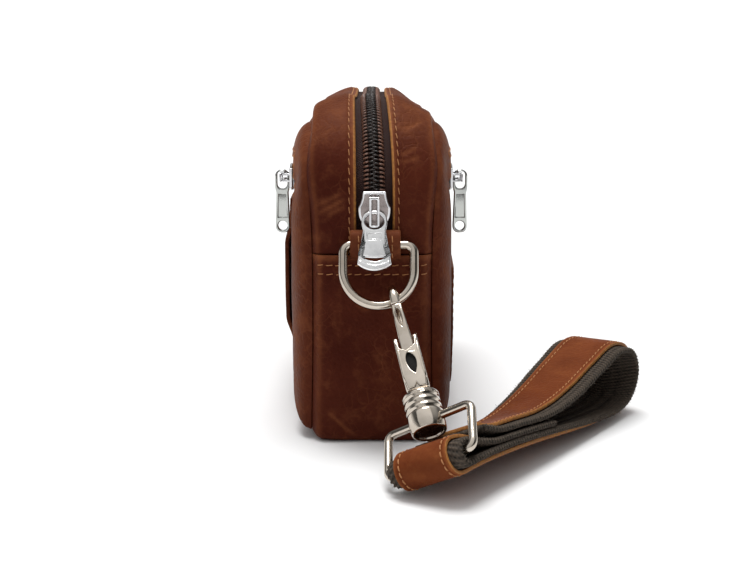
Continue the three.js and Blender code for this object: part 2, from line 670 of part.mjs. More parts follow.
// Hook frame: OUT points to the gate side, AXIS runs from the ring's wire to the strap
const HOOK_CONTACT = onRing(HOOK_ON_RING, RING_BOWL + Math.sqrt(RING.half ** 2 - HOOK_ON_RING ** 2));
const HOOK_OUT = new THREE.Vector3().crossVectors(HOOK_AXIS, HOOK_ACROSS).normalize();
const HOOK_SIDE = new THREE.Vector3().crossVectors(HOOK_OUT, HOOK_AXIS).normalize();
function onHook(out, along, across = 0) {
  return HOOK_CONTACT.clone().addScaledVector(HOOK_OUT, out)
    .addScaledVector(HOOK_AXIS, along).addScaledVector(HOOK_SIDE, across);
}

// Lathed piece on the hook's axis from (radius, along) pairs
function turned(profile, sides) {
  const points = profile.map(([radius, along]) => new THREE.Vector2(radius, along));
  const geometry = new THREE.LatheGeometry(points, sides);
  return geometry.applyMatrix4(frame(HOOK_CONTACT, HOOK_OUT, HOOK_AXIS, HOOK_SIDE));
}

function hookBody() {
  const crook = [onHook(HOOK.arch, 4)];
  for (let i = 0; i <= 10; i += 1) {
    const angle = (i / 10) * Math.PI;
    crook.push(onHook(HOOK.arch * Math.cos(angle), HOOK.archAt - HOOK.arch * Math.sin(angle)));
  }
  const back = [
    { out: -HOOK.arch, along: 10 }, { out: -HOOK.arch, along: 20 }, { out: -4.6, along: 26 },
    { out: -2.8, along: 31 }, { out: -2, along: 34 },
  ];
  crook.push(...back.map((row) => onHook(row.out, row.along)));
  const spine = planarWire(crook, HOOK_SIDE, roundOutline(HOOK.wire, HOOK.wire + 0.1, 8), false);
  const block = new THREE.Shape();
  block.moveTo(-4.4, 29.5);
  block.lineTo(0.6, 30.5);
  block.lineTo(4.2, 31.5);
  block.lineTo(3.4, 36);
  block.lineTo(-3.2, 36);
  const plane = frame(HOOK_CONTACT, HOOK_OUT, HOOK_AXIS, HOOK_SIDE);
  const pieces = [spine, plate(block, HOOK.socketHalf * 2, plane)];
  const cheek = new THREE.Shape();
  cheek.moveTo(-4, 33);
  cheek.lineTo(-4.4, 27.5);
  cheek.lineTo(0.4, 23);
  cheek.quadraticCurveTo(2.4, 20.6, 4.1, 16.4);
  cheek.quadraticCurveTo(5.2, 22, 4.5, 33);
  for (const side of [-1, 1]) {
    const shift = HOOK_SIDE.clone().multiplyScalar(side * (HOOK.socketHalf - HOOK.cheek / 2));
    pieces.push(plate(cheek, HOOK.cheek, plane, 4).translate(shift.x, shift.y, shift.z));
  }
  const collar = HOOK.stem + 0.8;
  const stem = [[0, 34.5], [collar, 34.5], [collar, 36.3], [HOOK.stem, 36.4], [HOOK.stem, 40.6], [0, 40.6]];
  pieces.push(turned(stem, 14));
  return joined(pieces);
}

function hookGate() {
  const length = GATE.pivotAt - GATE.topAt;
  const lean = Math.atan2(GATE.topOut - GATE.pivotOut, length);
  const down = HOOK_AXIS.clone().multiplyScalar(Math.cos(lean)).addScaledVector(HOOK_OUT, -Math.sin(lean));
  const face = new THREE.Vector3().crossVectors(HOOK_SIDE, down);
  const origin = onHook(GATE.topOut, GATE.topAt);
  const bar = new THREE.Shape();
  bar.moveTo(-1.7, 0);
  bar.lineTo(1.7, 0);
  bar.lineTo(1.9, 7);
  bar.lineTo(2.3, length + 1.4);
  bar.lineTo(-2.3, length + 1.4);
  bar.lineTo(-1.9, 7);
  const window = new THREE.Path();
  window.moveTo(-0.75, 1.6);
  window.lineTo(-0.75, 5);
  window.quadraticCurveTo(-0.4, 7.4, 0, 8);
  window.quadraticCurveTo(0.4, 7.4, 0.75, 5);
  window.lineTo(0.75, 1.6);
  bar.holes.push(window);
  const blade = plate(bar, GATE.thick, frame(origin, HOOK_SIDE, down, face), 3);
  const pin = new THREE.CylinderGeometry(GATE.pin, GATE.pin, 4.7, 12);
  const pivot = onHook(GATE.pivotOut, GATE.pivotAt);
  pin.applyMatrix4(frame(pivot, HOOK_OUT, HOOK_SIDE, HOOK_AXIS.clone().negate()));
  return joined([blade, pin]);
}

// The strap lies along a carrier line: it is rolled on its left edge at the loop and flat further on
const NEAR_HEADING = radians(STRAP_HEADING.nearDeg);
function strapFrame(t) {
  const settled = smooth(t, 0, STRAP_HEADING.settle);
  const heading = radians(lerp(STRAP_HEADING.nearDeg, STRAP_HEADING.farDeg, settled));
  const lift = STRAP_ACROSS.z * (1 - settled);
  const level = Math.sqrt(1 - lift * lift);
  const flatAcross = Math.atan2(STRAP_ACROSS.y, STRAP_ACROSS.x);
  const turn = lerp(flatAcross, heading - Math.PI / 2, settled);
  const across = new THREE.Vector3(level * Math.cos(turn), level * Math.sin(turn), lift);
  const ahead = new THREE.Vector3(Math.cos(heading), Math.sin(heading), 0);
  const up = new THREE.Vector3().crossVectors(across, ahead).normalize();
  return { across, up };
}

const STRAP_FLOOR = 0.15;
const NEAR_FRAME = strapFrame(0);
const FOLD_HEIGHT = STRAP_RUN + STRAP_FOLD;

// The loop's lower bar lies in the strap's fold, the strap's left edge on the floor
const LOOP_CENTRE = onHook(0, BARREL.crossAt).addScaledVector(LOOP_BAR, LOOP.slide);
const LOOP_DOWN = HOOK_AXIS.clone().addScaledVector(LOOP_BAR, -HOOK_AXIS.dot(LOOP_BAR)).normalize()
  .applyAxisAngle(LOOP_BAR, radians(LOOP.swingDeg));
const LOOP_NORMAL = new THREE.Vector3().crossVectors(LOOP_BAR, LOOP_DOWN).normalize();
const FOLD_Z = STRAP_FLOOR + WEBBING.half * STRAP_ACROSS.z + FOLD_HEIGHT * NEAR_FRAME.up.z;
const LOOP_LEG = (FOLD_Z - LOOP_CENTRE.z) / LOOP_DOWN.z;
const STRAP_BAR = LOOP_CENTRE.clone().addScaledVector(LOOP_DOWN, LOOP_LEG)
  .addScaledVector(LOOP_BAR, STRAP_ASIDE);
const STRAP_START = STRAP_BAR.clone().addScaledVector(NEAR_FRAME.up, -FOLD_HEIGHT);

function strapLoop() {
  const at = (side, drop) => LOOP_CENTRE.clone().addScaledVector(LOOP_BAR, side * LOOP.half)
    .addScaledVector(LOOP_DOWN, drop);
  const corners = [at(-1, 0), at(1, 0), at(1, LOOP_LEG), at(-1, LOOP_LEG)];
  const path = roundedLoop(corners, LOOP.corner, 4);
  return planarWire(path, LOOP_NORMAL, roundOutline(LOOP.wire, LOOP.wire, 8), true);
}

// Swivel barrel: ringed outside, bored for the hook's stem above and for the loop's wire across
function swivelBarrel() {
  const crest = BARREL.radius - 0.1;
  const grooves = [39, 41.2, 43.4].flatMap((along) => [
    [crest, along - 0.5], [crest - 0.7, along], [crest, along + 0.5],
  ]);
  const body = turned([
    [0, BARREL.topAt + 4.2], [BARREL.bore, BARREL.topAt + 4.2], [BARREL.bore, BARREL.topAt],
    [BARREL.radius - 0.7, BARREL.topAt], [BARREL.radius, BARREL.topAt + 0.7],
    ...grooves,
    [BARREL.radius - 0.2, 47], [BARREL.radius - 0.5, BARREL.lowAt], [BARREL.radius - 1.6, BARREL.lowAt],
    [BARREL.radius - 1.8, BARREL.lowAt - 1.6], [0, BARREL.lowAt - 1.6],
  ], 16);
  const drill = new THREE.CylinderGeometry(LOOP.wire + 0.3, LOOP.wire + 0.3, 20, 14);
  drill.applyMatrix4(frame(LOOP_CENTRE, LOOP_DOWN, LOOP_BAR, LOOP_NORMAL.clone().negate()));
  return cut(body, [drill]);
}

function strapPoint(t, height, across) {
  const { across: acrossAxis, up } = strapFrame(t);
  const heading = radians(lerp(STRAP_HEADING.nearDeg, STRAP_HEADING.farDeg, 0.6));
  const p = new THREE.Vector3(
    STRAP_START.x + t * Math.cos(t < 0 ? NEAR_HEADING : heading),
    STRAP_START.y + t * Math.sin(t < 0 ? NEAR_HEADING : heading),
    WEBBING.half * acrossAxis.z + STRAP_FLOOR,
  );
  return p.addScaledVector(up, height).addScaledVector(acrossAxis, across);
}

// Route of the webbing's middle, from the sewn end of the upper run to the sewn tail inside
function strapRoute() {
  const tail = STRAP_RUN + WEBBING.thick + GAP;
  const rows = [
    { t: 14, h: 10.6 }, { t: 22, h: 8.3 }, { t: 36, h: 7.9 }, { t: 54, h: 8.4 }, { t: 74, h: 12.6 },
    { t: 94, h: 20 }, { t: 109, h: 25.2 }, { t: 119.5, h: 22.8 }, { t: 123.5, h: 15 },
    { t: 118.5, h: 7 }, { t: 107, h: 3.4 }, { t: 94, h: STRAP_RUN }, { t: 45, h: STRAP_RUN },
    { t: 6, h: STRAP_RUN },
  ];
  for (let i = 0; i <= 6; i += 1) {
    const angle = (i / 6) * Math.PI;
    rows.push({ t: -STRAP_FOLD * Math.sin(angle), h: FOLD_HEIGHT - STRAP_FOLD * Math.cos(angle) });
  }
  rows.push({ t: 4, h: tail + 3.9 }, { t: 10, h: tail + 1.8 }, { t: 17, h: tail + 0.3 });
  rows.push({ t: 24, h: tail }, { t: STRAP_TAIL, h: tail });
  return new THREE.CatmullRomCurve3(rows.map((row) => new THREE.Vector3(row.t, row.h, 0)));
}

// Places along the route, closer together where it bends
function strapStations(route) {
  const fine = 800;
  const length = route.getLength() / fine;
  const stations = [0];
  let spent = 0;
  let before = route.getTangentAt(0);
  for (let i = 1; i < fine; i += 1) {
    const tangent = route.getTangentAt(i / fine);
    spent += length / STRAP_STEP.length + before.angleTo(tangent) / STRAP_STEP.turn;
    before = tangent;
    if (spent >= 1) {
      stations.push(i / fine);
      spent = 0;
    }
  }
  return stations.concat([1]);
}

// Band that follows the route, moved out from the webbing's middle by a distance
function strapBand(half, thick, offset, from, to) {
  const route = strapRoute();
  const low = [-1, 0, 1].map((k) => new THREE.Vector2(k * half, -thick / 2));
  const high = [1, 0, -1].map((k) => new THREE.Vector2(k * half, thick / 2));
  const outline = low.concat(high);
  const between = strapStations(route).filter((station) => station > from && station < to);
  const rings = [from, ...between, to].map((u) => {
    const p = route.getPointAt(u);
    const tangent = route.getTangentAt(u);
    return outline.map((o) => {
      const out = offset + o.y;
      return strapPoint(p.x - tangent.y * out, p.y + tangent.x * out, o.x);
    });
  });
  return loft(rings, outline);
}

// Share of the route at which the tail reaches a place
function tailShare(t) {
  const route = strapRoute();
  let share = 1;
  while (route.getPointAt(share).x > t) share -= 0.002;
  return share;
}

const bag = new THREE.Group();
function add(name, geometry, colour, roughness, metalness) {
  const material = new THREE.MeshStandardMaterial({ color: colour, roughness, metalness });
  const mesh = new THREE.Mesh(geometry, material);
  mesh.name = name;
  bag.add(mesh);
}
const addLeather = (name, geometry, colour = COLOURS.leather) => add(name, geometry, colour, 0.6, 0);
const addCloth = (name, geometry, colour) => add(name, geometry, colour, 0.9, 0);
const addMetal = (name, geometry, colour) => add(name, geometry, colour, 0.2, 1);

addLeather('zip_gusset_left', zipGusset(-1));
addLeather('zip_gusset_right', zipGusset(1));
addLeather('base_gusset', baseGusset());
addLeather('back_panel', slottedPanel('back'), COLOURS.leatherLight);
addLeather('front_panel', slottedPanel('front'), COLOURS.leatherLight);
addLeather('belt_loop', beltLoop());
addLeather('slip_pocket', slipPocket());
addLeather('ring_tab', ringTab());
addCloth('main_zip_tape', mainZipTape(), COLOURS.tape);
addMetal('main_slider', sliderGeometry(MAIN_SLIDER_FRAME, MAIN_BRIDGE, 1), COLOURS.chrome);
addMetal('main_pull', mainPullGeometry(mainPullFrame()), COLOURS.chrome);
for (const name of ['back', 'front']) {
  addCloth(`${name}_zip_tape`, sideZipTape(name), COLOURS.tape);
  const slider = sliderGeometry(sideSliderFrame(name), SIDE_BRIDGE, SIDE_SLIDER_WIDTH);
  addMetal(`${name}_slider`, slider, COLOURS.chrome);
  addMetal(`${name}_pull`, sidePullGeometry(sidePullFrame(name)), COLOURS.chrome);
}
addMetal('d_ring', dRing(), COLOURS.nickel);
addMetal('hook_body', hookBody(), COLOURS.nickel);
addMetal('hook_gate', hookGate(), COLOURS.nickel);
addMetal('swivel_barrel', swivelBarrel(), COLOURS.nickel);
addMetal('strap_loop', strapLoop(), COLOURS.nickel);
addCloth('strap_webbing', strapBand(WEBBING.half, WEBBING.thick, 0, 0, 1), COLOURS.webbing);
const STRIP_OUT = WEBBING.thick / 2 + STRAP_GAP + STRIP.thick / 2;
const strip = strapBand(STRIP.half, STRIP.thick, STRIP_OUT, 0.004, tailShare(STRIP_TAIL));
addLeather('strap_strip', strip, COLOURS.leatherLight);

export default bag;
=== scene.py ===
import math

import bmesh
import bpy
import numpy as np
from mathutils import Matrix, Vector, noise
from mathutils.bvhtree import BVHTree


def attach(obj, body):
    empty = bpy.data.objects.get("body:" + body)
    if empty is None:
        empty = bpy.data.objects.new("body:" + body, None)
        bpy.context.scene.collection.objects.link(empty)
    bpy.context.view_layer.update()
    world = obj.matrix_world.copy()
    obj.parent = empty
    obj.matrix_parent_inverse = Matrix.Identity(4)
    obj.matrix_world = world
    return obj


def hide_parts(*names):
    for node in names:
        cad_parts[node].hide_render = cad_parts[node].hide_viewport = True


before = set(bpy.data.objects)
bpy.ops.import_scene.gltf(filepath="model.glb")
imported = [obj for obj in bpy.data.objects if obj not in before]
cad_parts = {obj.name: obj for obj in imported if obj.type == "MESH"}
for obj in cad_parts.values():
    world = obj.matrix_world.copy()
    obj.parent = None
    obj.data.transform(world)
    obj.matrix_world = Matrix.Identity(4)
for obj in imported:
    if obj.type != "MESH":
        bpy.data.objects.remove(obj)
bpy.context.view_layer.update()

# All shapes are in millimetres in the frame's axes and are scaled to metres when a piece is made
MM = 0.001
RNG = np.random.default_rng(11)
X, Y, Z = np.eye(3)
SIDE = {"front": 1, "back": -1}

# Body
HALF_LENGTH = 80.0
HEIGHT = 121.0
TOP_RADIUS = 36.0
BASE_RADII = (3.4, 5.5)
END_SEAM_Z = 66.7
SEAM_GAP = 0.2
LEATHER = 1.6
GAP = 0.35
TOP_SAG = 2.2
SEAM_HALF_WIDTH = 20.4
EDGE_ROLL = 1.6
END_DOME = 2.4
TOP_DOME = 8.4
BASE_DOME = 1.6
BASE_FLAT_SHARE = 0.55
SHOULDER_OVERHANG = 0.9
SHOULDER_LIP = 1.2
PANEL_DISH = 0.2
PANEL_SHOULDER = 0.24
MIDDLE = np.array([0.0, 0.0, 60.0])
PANEL_X = {"front": 28.2, "back": 29.0}
# How far the top slumps at the near and at the far end, on the left and on the right
SLUMP = {-1: (0.05, 0.3), 1: (0.7, 1.15)}

# Zips
SLOT_END = 6.2
SLOT_TOP = 5.5
DRIFT_END = 0.8
DRIFT_TOP = -0.7
TAPE_HALF = 9.4
TAPE_DEPTH = (2.7, 2.35)
TAPE = 0.8
TOOTH_PITCH = 1.5
POCKET_Z = 90.4
POCKET_SLOT = 10.2
POCKET_HALF = 57.0
POCKET_TAPE_END = 3
SIDE_SLIDER_Y = -49.5
SIDE_SLIDER_X = {"front": 26.809, "back": -27.609}

# Stitch rows, from the edge they follow
ZIP_STITCH = 2.2
BASE_STITCHES = (3.4, 6.6)
POCKET_STITCH = 2.2
STRIP_STITCH = 1.9


def lerp(a, b, t):
    return a + (b - a) * t


def smooth(x, low, high):
    t = np.clip((np.asarray(x, float) - low) / (high - low), 0, 1)
    return t * t * (3 - 2 * t)


def unit(v):
    v = np.asarray(v, float)
    return v / np.linalg.norm(v, axis=-1, keepdims=True)


def ridge(x, at, width):
    return np.exp(-(((x - at) / width) ** 2))


def stacked(*values):
    return np.stack(np.broadcast_arrays(*values), -1)


def spans(*parts):
    """Row of numbers through (first, last, count) spans that share their ends."""
    return np.concatenate([np.linspace(*part)[:-1] for part in parts[:-1]] + [np.linspace(*parts[-1])])


def around(steps):
    return np.linspace(0, 2 * math.pi, steps, endpoint=False)


def noise_of(points, wave, seed):
    flat = np.asarray(points, float).reshape(-1, 3) / wave + seed
    return np.array([noise.noise(Vector(p)) for p in flat]).reshape(np.shape(points)[:-1])


def dents(points, *waves):
    """Sum of noises, each with a depth, a wave length and a seed."""
    return sum(depth * noise_of(points, wave, seed) for depth, wave, seed in waves)


# Materials


class Nodes:
    """Nodes of a material or world: a helper makes a node, sets or links its inputs and returns an output."""

    def __init__(self, owner, shader="Principled BSDF"):
        owner.use_nodes = True
        self.owner = owner
        self.tree = owner.node_tree
        self.shader = self.tree.nodes[shader]

    def put(self, socket, value):
        if isinstance(value, bpy.types.NodeSocket):
            self.tree.links.new(value, socket)
        else:
            socket.default_value = value

    def add(self, kind, output, inputs, **settings):
        node = self.tree.nodes.new("ShaderNode" + kind)
        for key, value in settings.items():
            setattr(node, key, value)
        for key, value in inputs.items():
            self.put(node.inputs[key], value)
        return node.outputs[output]

    def shade(self, **values):
        for key, value in values.items():
            self.put(self.shader.inputs[key.replace("_", " ")], value)
        return self.owner

    def coords(self, scale=(1, 1, 1)):
        at = self.add("TexCoord", "Object", {})
        return self.add("Mapping", 0, {"Vector": at, "Scale": scale})

    def noise(self, at, scale, detail=4.0, rough=0.55):
        return self.add("TexNoise", 0, {"Vector": at, "Scale": scale, "Detail": detail, "Roughness": rough})

    def cells(self, at, scale, feature="SMOOTH_F1"):
        return self.add("TexVoronoi", "Distance", {"Vector": at, "Scale": scale}, feature=feature)

    def attribute(self, name, output="Fac"):
        return self.add("Attribute", output, {}, attribute_name=name)

    def fit(self, value, low, high, to_low=0.0, to_high=1.0):
        inputs = {"Value": value, "From Min": low, "From Max": high, "To Min": to_low, "To Max": to_high}
        return self.add("MapRange", 0, inputs)

    def calc(self, operation, a, b=0.0):
        return self.add("Math", 0, {0: a, 1: b}, operation=operation)

    def times(self, a, b):
        return self.calc("MULTIPLY", a, b)

    def mix(self, share, a, b):
        a, b = ((*colour, 1.0) if isinstance(colour, tuple) else colour for colour in (a, b))
        return self.add("Mix", 2, {0: share, 6: a, 7: b}, data_type="RGBA")

    def bump(self, height, distance, strength):
        return self.add("Bump", 0, {"Height": height, "Distance": distance, "Strength": strength})


def material(name):
    return Nodes(bpy.data.materials.new(name))


def leather(name, deep, mid, worn_and_lit):
    """Waxed leather: cloudy colour, lightened where it is creased, handled or given painted top light and sheen, with
    fine pebbled grain.
    """
    m = material(name)
    at = m.coords()
    clouds = m.noise(at, 36, 5)
    patches = m.noise(at, 150, 6, 0.62)
    drift = m.add("TexNoise", 1, {"Vector": at, "Scale": 90.0, "Detail": 3.0})
    bent = m.add("VectorMath", 0, {0: drift, 1: (0.012, 0.012, 0.012), 2: at}, operation="MULTIPLY_ADD")
    crease = m.fit(m.cells(bent, 240, "DISTANCE_TO_EDGE"), 0.0, 0.09, 1.0, 0.0)
    soft = m.times(crease, m.fit(m.noise(at, 60, 3), 0.42, 0.68))
    # The per-point attribute lightens the leather towards its pale colour. It is real wear in most places, painted top
    # light and sheen on the upper parts of the zip gussets and panels, and painted light on the panels' shoulders.
    wear_and_painted_light = m.times(m.attribute("wear_and_painted_light"), m.fit(patches, 0.3, 0.7, 0.6, 1.25))
    lightening = m.calc("ADD", wear_and_painted_light, m.times(soft, 0.2))
    base = m.mix(m.fit(clouds, 0.36, 0.66), deep, mid)
    speckled = m.mix(m.fit(patches, 0.52, 0.74, 0.0, 0.3), base, worn_and_lit)
    grain = m.times(m.cells(at, 900), 0.7)
    fine = m.times(m.noise(at, 3000, 2), 0.25)
    height = m.calc("SUBTRACT", m.calc("ADD", grain, fine), m.times(soft, 0.5))
    return m.shade(
        Base_Color=m.mix(m.fit(lightening, 0.0, 1.0), speckled, worn_and_lit),
        Roughness=m.fit(patches, 0.3, 0.7, 0.42, 0.6),
        Specular_IOR_Level=0.028,
        Normal=m.bump(height, 0.0005, 0.55),
    )


def fibrous(name, dark, light, scale, rough, stretch=(1, 1, 1)):
    """Two-toned fibrous surface, for cut edges, thread and zip coils."""
    m = material(name)
    strands = m.noise(m.coords(stretch), scale, 4, 0.6)
    patches = m.noise(m.coords(), 180, 3)
    colour = m.mix(m.fit(strands, 0.32, 0.68), dark, light)
    toned = m.mix(m.fit(patches, 0.4, 0.75, 0.0, 0.5), colour, dark)
    return m.shade(Base_Color=toned, Roughness=m.fit(strands, 0.3, 0.7, *rough), Normal=m.bump(strands, 0.0002, 0.7))


def metal(name, colour, stain, rough):
    """Polished plate with faint smudges and hairline scratches."""
    m = material(name)
    smudge = m.noise(m.coords(), 130, 4, 0.6)
    scratch = m.noise(m.coords((300, 40, 2500)), 6, 3, 0.7)
    return m.shade(
        Base_Color=m.mix(m.fit(smudge, 0.45, 0.75), colour, stain),
        Metallic=1.0,
        Roughness=m.fit(smudge, 0.3, 0.75, *rough),
        Normal=m.bump(scratch, 0.00003, 0.25),
    )


def woven(name, dark, light, pitch, skew, rough, depth):
    """Ribbed weave from the along and across distances that a piece carries, with painted shade in the grooves between
    ribs and painted highlight on their crests.
    """
    m = material(name)
    along, across = (m.add("SeparateXYZ", i, {0: m.attribute("weave", "Vector")}) for i in (0, 1))
    lean = m.times(m.calc("ABSOLUTE", across), skew)
    rib = m.calc("SINE", m.times(m.calc("ADD", along, lean), 2 * math.pi / pitch))
    warp = m.calc("SINE", m.times(across, 2 * math.pi / (pitch * 0.8)))
    lint = m.noise(m.coords(), 700, 4, 0.65)
    # Colour follows the ribs, darker in the grooves and lighter on the crests: painted shade and painted highlight.
    # The lint noise is the yarn's own speckle.
    rib_shade_and_highlight = m.calc("ADD", m.fit(m.times(rib, warp), -1, 1, 0.0, 0.32), m.fit(rib, -1, 1, 0.0, 0.36))
    level = m.calc("ADD", rib_shade_and_highlight, m.fit(lint, 0.3, 0.7, 0.0, 0.36))
    return m.shade(
        Base_Color=m.mix(m.fit(level, 0.1, 0.95), dark, light),
        Roughness=m.fit(lint, 0.3, 0.7, *rough),
        Specular_IOR_Level=0.2,
        Normal=m.bump(m.calc("ADD", level, m.times(rib, 0.4)), depth, 0.8),
    )


DARK = leather("dark_leather", (0.05, 0.009, 0.0048), (0.082, 0.0175, 0.0085), (0.215, 0.07, 0.028))
RUST = leather("rust_leather", (0.1, 0.022, 0.007), (0.185, 0.05, 0.017), (0.3, 0.1, 0.032))
RAW = fibrous("cut_edge", (0.23, 0.083, 0.015), (0.49, 0.2, 0.038), 900, (0.6, 0.85))
THREAD = fibrous("thread", (0.29, 0.11, 0.032), (0.56, 0.245, 0.085), 2600, (0.45, 0.7), (1, 1, 3))
COIL = fibrous("zip_coil", (0.008, 0.005, 0.004), (0.03, 0.015, 0.01), 1200, (0.22, 0.36))
# Matte near-black: painted shade for the hollow behind the hook's cover
PAINTED_SHADE = fibrous("hook_painted_shade", (0.003, 0.0025, 0.002), (0.009, 0.007, 0.006), 1200, (0.9, 1.0))
COPPER = fibrous("coil_copper_bends", (0.085, 0.036, 0.023), (0.25, 0.12, 0.078), 2400, (0.3, 0.5))
LINT = fibrous("lint", (0.05, 0.042, 0.03), (0.16, 0.13, 0.1), 1500, (0.7, 0.9))
CHROME = metal("bright_chrome", (0.66, 0.66, 0.67), (0.52, 0.52, 0.54), (0.1, 0.22))
# Lit and shaded copies of one pull metal, as painted reflection: the main pull's copy is painted brighter, the side
# pulls' copy darker
PULL_PAINTED_LIT = metal("pull_metal_lit", (0.9, 0.9, 0.9), (0.74, 0.74, 0.75), (0.1, 0.22))
PULL_PAINTED_SHADED = metal("pull_metal_shaded", (0.47, 0.48, 0.46), (0.37, 0.38, 0.37), (0.1, 0.22))
SATIN = metal("satin_face", (0.3, 0.26, 0.25), (0.22, 0.19, 0.18), (0.2, 0.3))
NICKEL = metal("warm_nickel", (0.56, 0.5, 0.43), (0.46, 0.4, 0.33), (0.05, 0.13))
TAPE_CLOTH = woven("zip_tape", (0.016, 0.0055, 0.0045), (0.048, 0.019, 0.014), 0.7, 0.6, (0.6, 0.85), 0.0002)
WEBBING = woven("webbing", (0.007, 0.006, 0.005), (0.105, 0.08, 0.06), 1.5, 0.35, (0.7, 0.95), 0.0004)


# Mesh building


def quads(rows, cols, wrap_rows=False, wrap_cols=False):
    i = np.arange(rows if wrap_rows else rows - 1)[:, None]
    j = np.arange(cols if wrap_cols else cols - 1)[None, :]
    down, right = (i + 1) % rows, (j + 1) % cols
    return stacked(i * cols + j, i * cols + right, down * cols + right, down * cols + j).reshape(-1, 4).tolist()


def skin(rings, sides, closed=False):
    """Faces of a row of rings, with flat ends unless the row is closed."""
    faces = quads(rings, sides, wrap_rows=closed, wrap_cols=True)
    if not closed:
        last = (rings - 1) * sides
        faces += [list(range(sides)), [last + i for i in range(sides)]]
    return faces


def riding(mesh, body, replaces):
    """Smooth object of a mesh that rides on a body."""
    mesh.polygons.foreach_set("use_smooth", [True] * len(mesh.polygons))
    obj = bpy.data.objects.new(mesh.name, mesh)
    bpy.context.collection.objects.link(obj)
    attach(obj, body)
    if replaces:
        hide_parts(*replaces)
    return obj


def piece(name, parts, body, materials, replaces=(), layers=None, weld=True):
    """An object from (points, faces, material number) parts that rides on a body."""
    points, faces, marks = [], [], []
    start = 0
    for part_points, part_faces, *mark in parts:
        points.append(np.asarray(part_points, float).reshape(-1, 3))
        faces += [[i + start for i in face] for face in part_faces]
        marks += [mark[0] if mark else 0] * len(part_faces)
        start += len(points[-1])
    mesh = bpy.data.meshes.new(name)
    mesh.from_pydata((np.concatenate(points) * MM).tolist(), [], faces)
    for look in materials:
        mesh.materials.append(look)
    mesh.polygons.foreach_set("material_index", marks)
    for key, values in (layers or {}).items():
        kind, field = ("FLOAT", "value") if values.ndim == 1 else ("FLOAT_VECTOR", "vector")
        mesh.attributes.new(key, kind, "POINT").data.foreach_set(field, values.ravel())
    bm = bmesh.new()
    bm.from_mesh(mesh)
    if weld:
        bmesh.ops.remove_doubles(bm, verts=bm.verts, dist=1e-7)
    bmesh.ops.recalc_face_normals(bm, faces=bm.faces)
    bm.to_mesh(mesh)
    bm.free()
    return riding(mesh, body, replaces)


def soften(obj, width):
    bevel = obj.modifiers.new("edges", "BEVEL")
    bevel.width = width * MM
    bevel.segments = 2
    bevel.limit_method = "ANGLE"
    bevel.angle_limit = math.radians(50)


def normals_of(grid, away):
    normal = unit(np.cross(np.gradient(grid, axis=0), np.gradient(grid, axis=1)))
    return normal if np.sum(normal * away) > 0 else -normal


def sheet(grid, thick, away):
    """Sheet of even thickness behind a grid of outer points: its points, its faces and its rims' faces."""
    rows, cols, _ = grid.shape
    inner = grid - normals_of(grid, away) * thick
    faces = quads(rows, cols)
    size = rows * cols
    back = [[i + size for i in reversed(face)] for face in faces]
    index = np.arange(size).reshape(rows, cols)
    rim = np.concatenate([index[0, :-1], index[:-1, -1], index[-1, :0:-1], index[:0:-1, 0]])
    after = np.roll(rim, -1)
    rims = np.stack([after, rim, rim + size, after + size], -1).tolist()
    return np.concatenate([grid.reshape(-1, 3), inner.reshape(-1, 3)]), faces + back, rims


def shell(node, grid, away, wear_and_painted_light, materials, thick=LEATHER, round_edge=0.35, cut=0, raw=0):
    """Leather sheet; cut is its rims' material number and raw the number of edge columns that show the cut."""
    points, faces, rims = sheet(grid, thick, away)
    rows, cols, _ = grid.shape
    layers = {"wear_and_painted_light": np.tile(np.broadcast_to(wear_and_painted_light, (rows, cols)).ravel(), 2)}
    obj = piece(f"{node}_leather", [(points, faces + rims)], "bag", materials, [node], layers, weld=False)
    half = len(faces) // 2
    marks = np.concatenate([np.arange(half) % (cols - 1) < raw, np.zeros(half), np.full(len(rims), cut)])
    obj.data.polygons.foreach_set("material_index", marks.astype(int))
    soften(obj, round_edge)


def headings(paths, closed=False):
    if closed:
        return unit(np.roll(paths, -1, axis=-2) - np.roll(paths, 1, axis=-2))
    return unit(np.gradient(paths, axis=-2))


def tubes(paths, radii, across, sides=6):
    """Round tubes along rows of points; across is a direction that no path runs along."""
    paths = np.asarray(paths, float)
    count, steps, _ = paths.shape
    radii = np.broadcast_to(radii, (count, steps))
    tangent = headings(paths)
    side = unit(np.cross(tangent, across))
    up = np.cross(side, tangent)
    angle = around(sides)
    ring = side[:, :, None] * np.cos(angle)[:, None] + up[:, :, None] * np.sin(angle)[:, None]
    points = paths[:, :, None] + radii[:, :, None, None] * ring
    one = skin(steps, sides)
    faces = [[i + k * steps * sides for i in face] for k in range(count) for face in one]
    return points.reshape(-1, 3), faces


def sweep(path, normal, half_in, half_across, closed=False, sides=24):
    """Wire or bar along a plane path; its half sizes in the plane and along the plane's normal may vary."""
    side = unit(np.cross(headings(path, closed), normal))
    half_in, half_across = (np.broadcast_to(v, len(path))[:, None, None] for v in (half_in, half_across))
    angle = around(sides)[:, None]
    points = path[:, None] + side[:, None] * half_in * np.cos(angle) + normal * half_across * np.sin(angle)
    return points.reshape(-1, 3), skin(len(path), sides, closed)


def outline(start, *moves):
    """Closed outline: a pair is a straight move, two pairs are a control point and an end point."""
    points = [start]
    for move in moves:
        if isinstance(move[0], tuple):
            (cx, cy), (ex, ey) = move
            sx, sy = points[-1]
            for t in np.linspace(0, 1, 10)[1:]:
                u = 1 - t
                points.append((u * u * sx + 2 * u * t * cx + t * t * ex, u * u * sy + 2 * u * t * cy + t * t * ey))
        else:
            points.append(move)
    return points


def mirrored(*half):
    """Outline that is the same on both sides of its Y axis, from its right half."""
    right = outline(*half)
    return right + [(-x, y) for x, y in reversed(right) if abs(x) > 1e-6]


def ellipse(x, y, radius_x, radius_y):
    angle = around(36)
    return list(zip(x + radius_x * np.cos(angle), y + radius_y * np.sin(angle)))


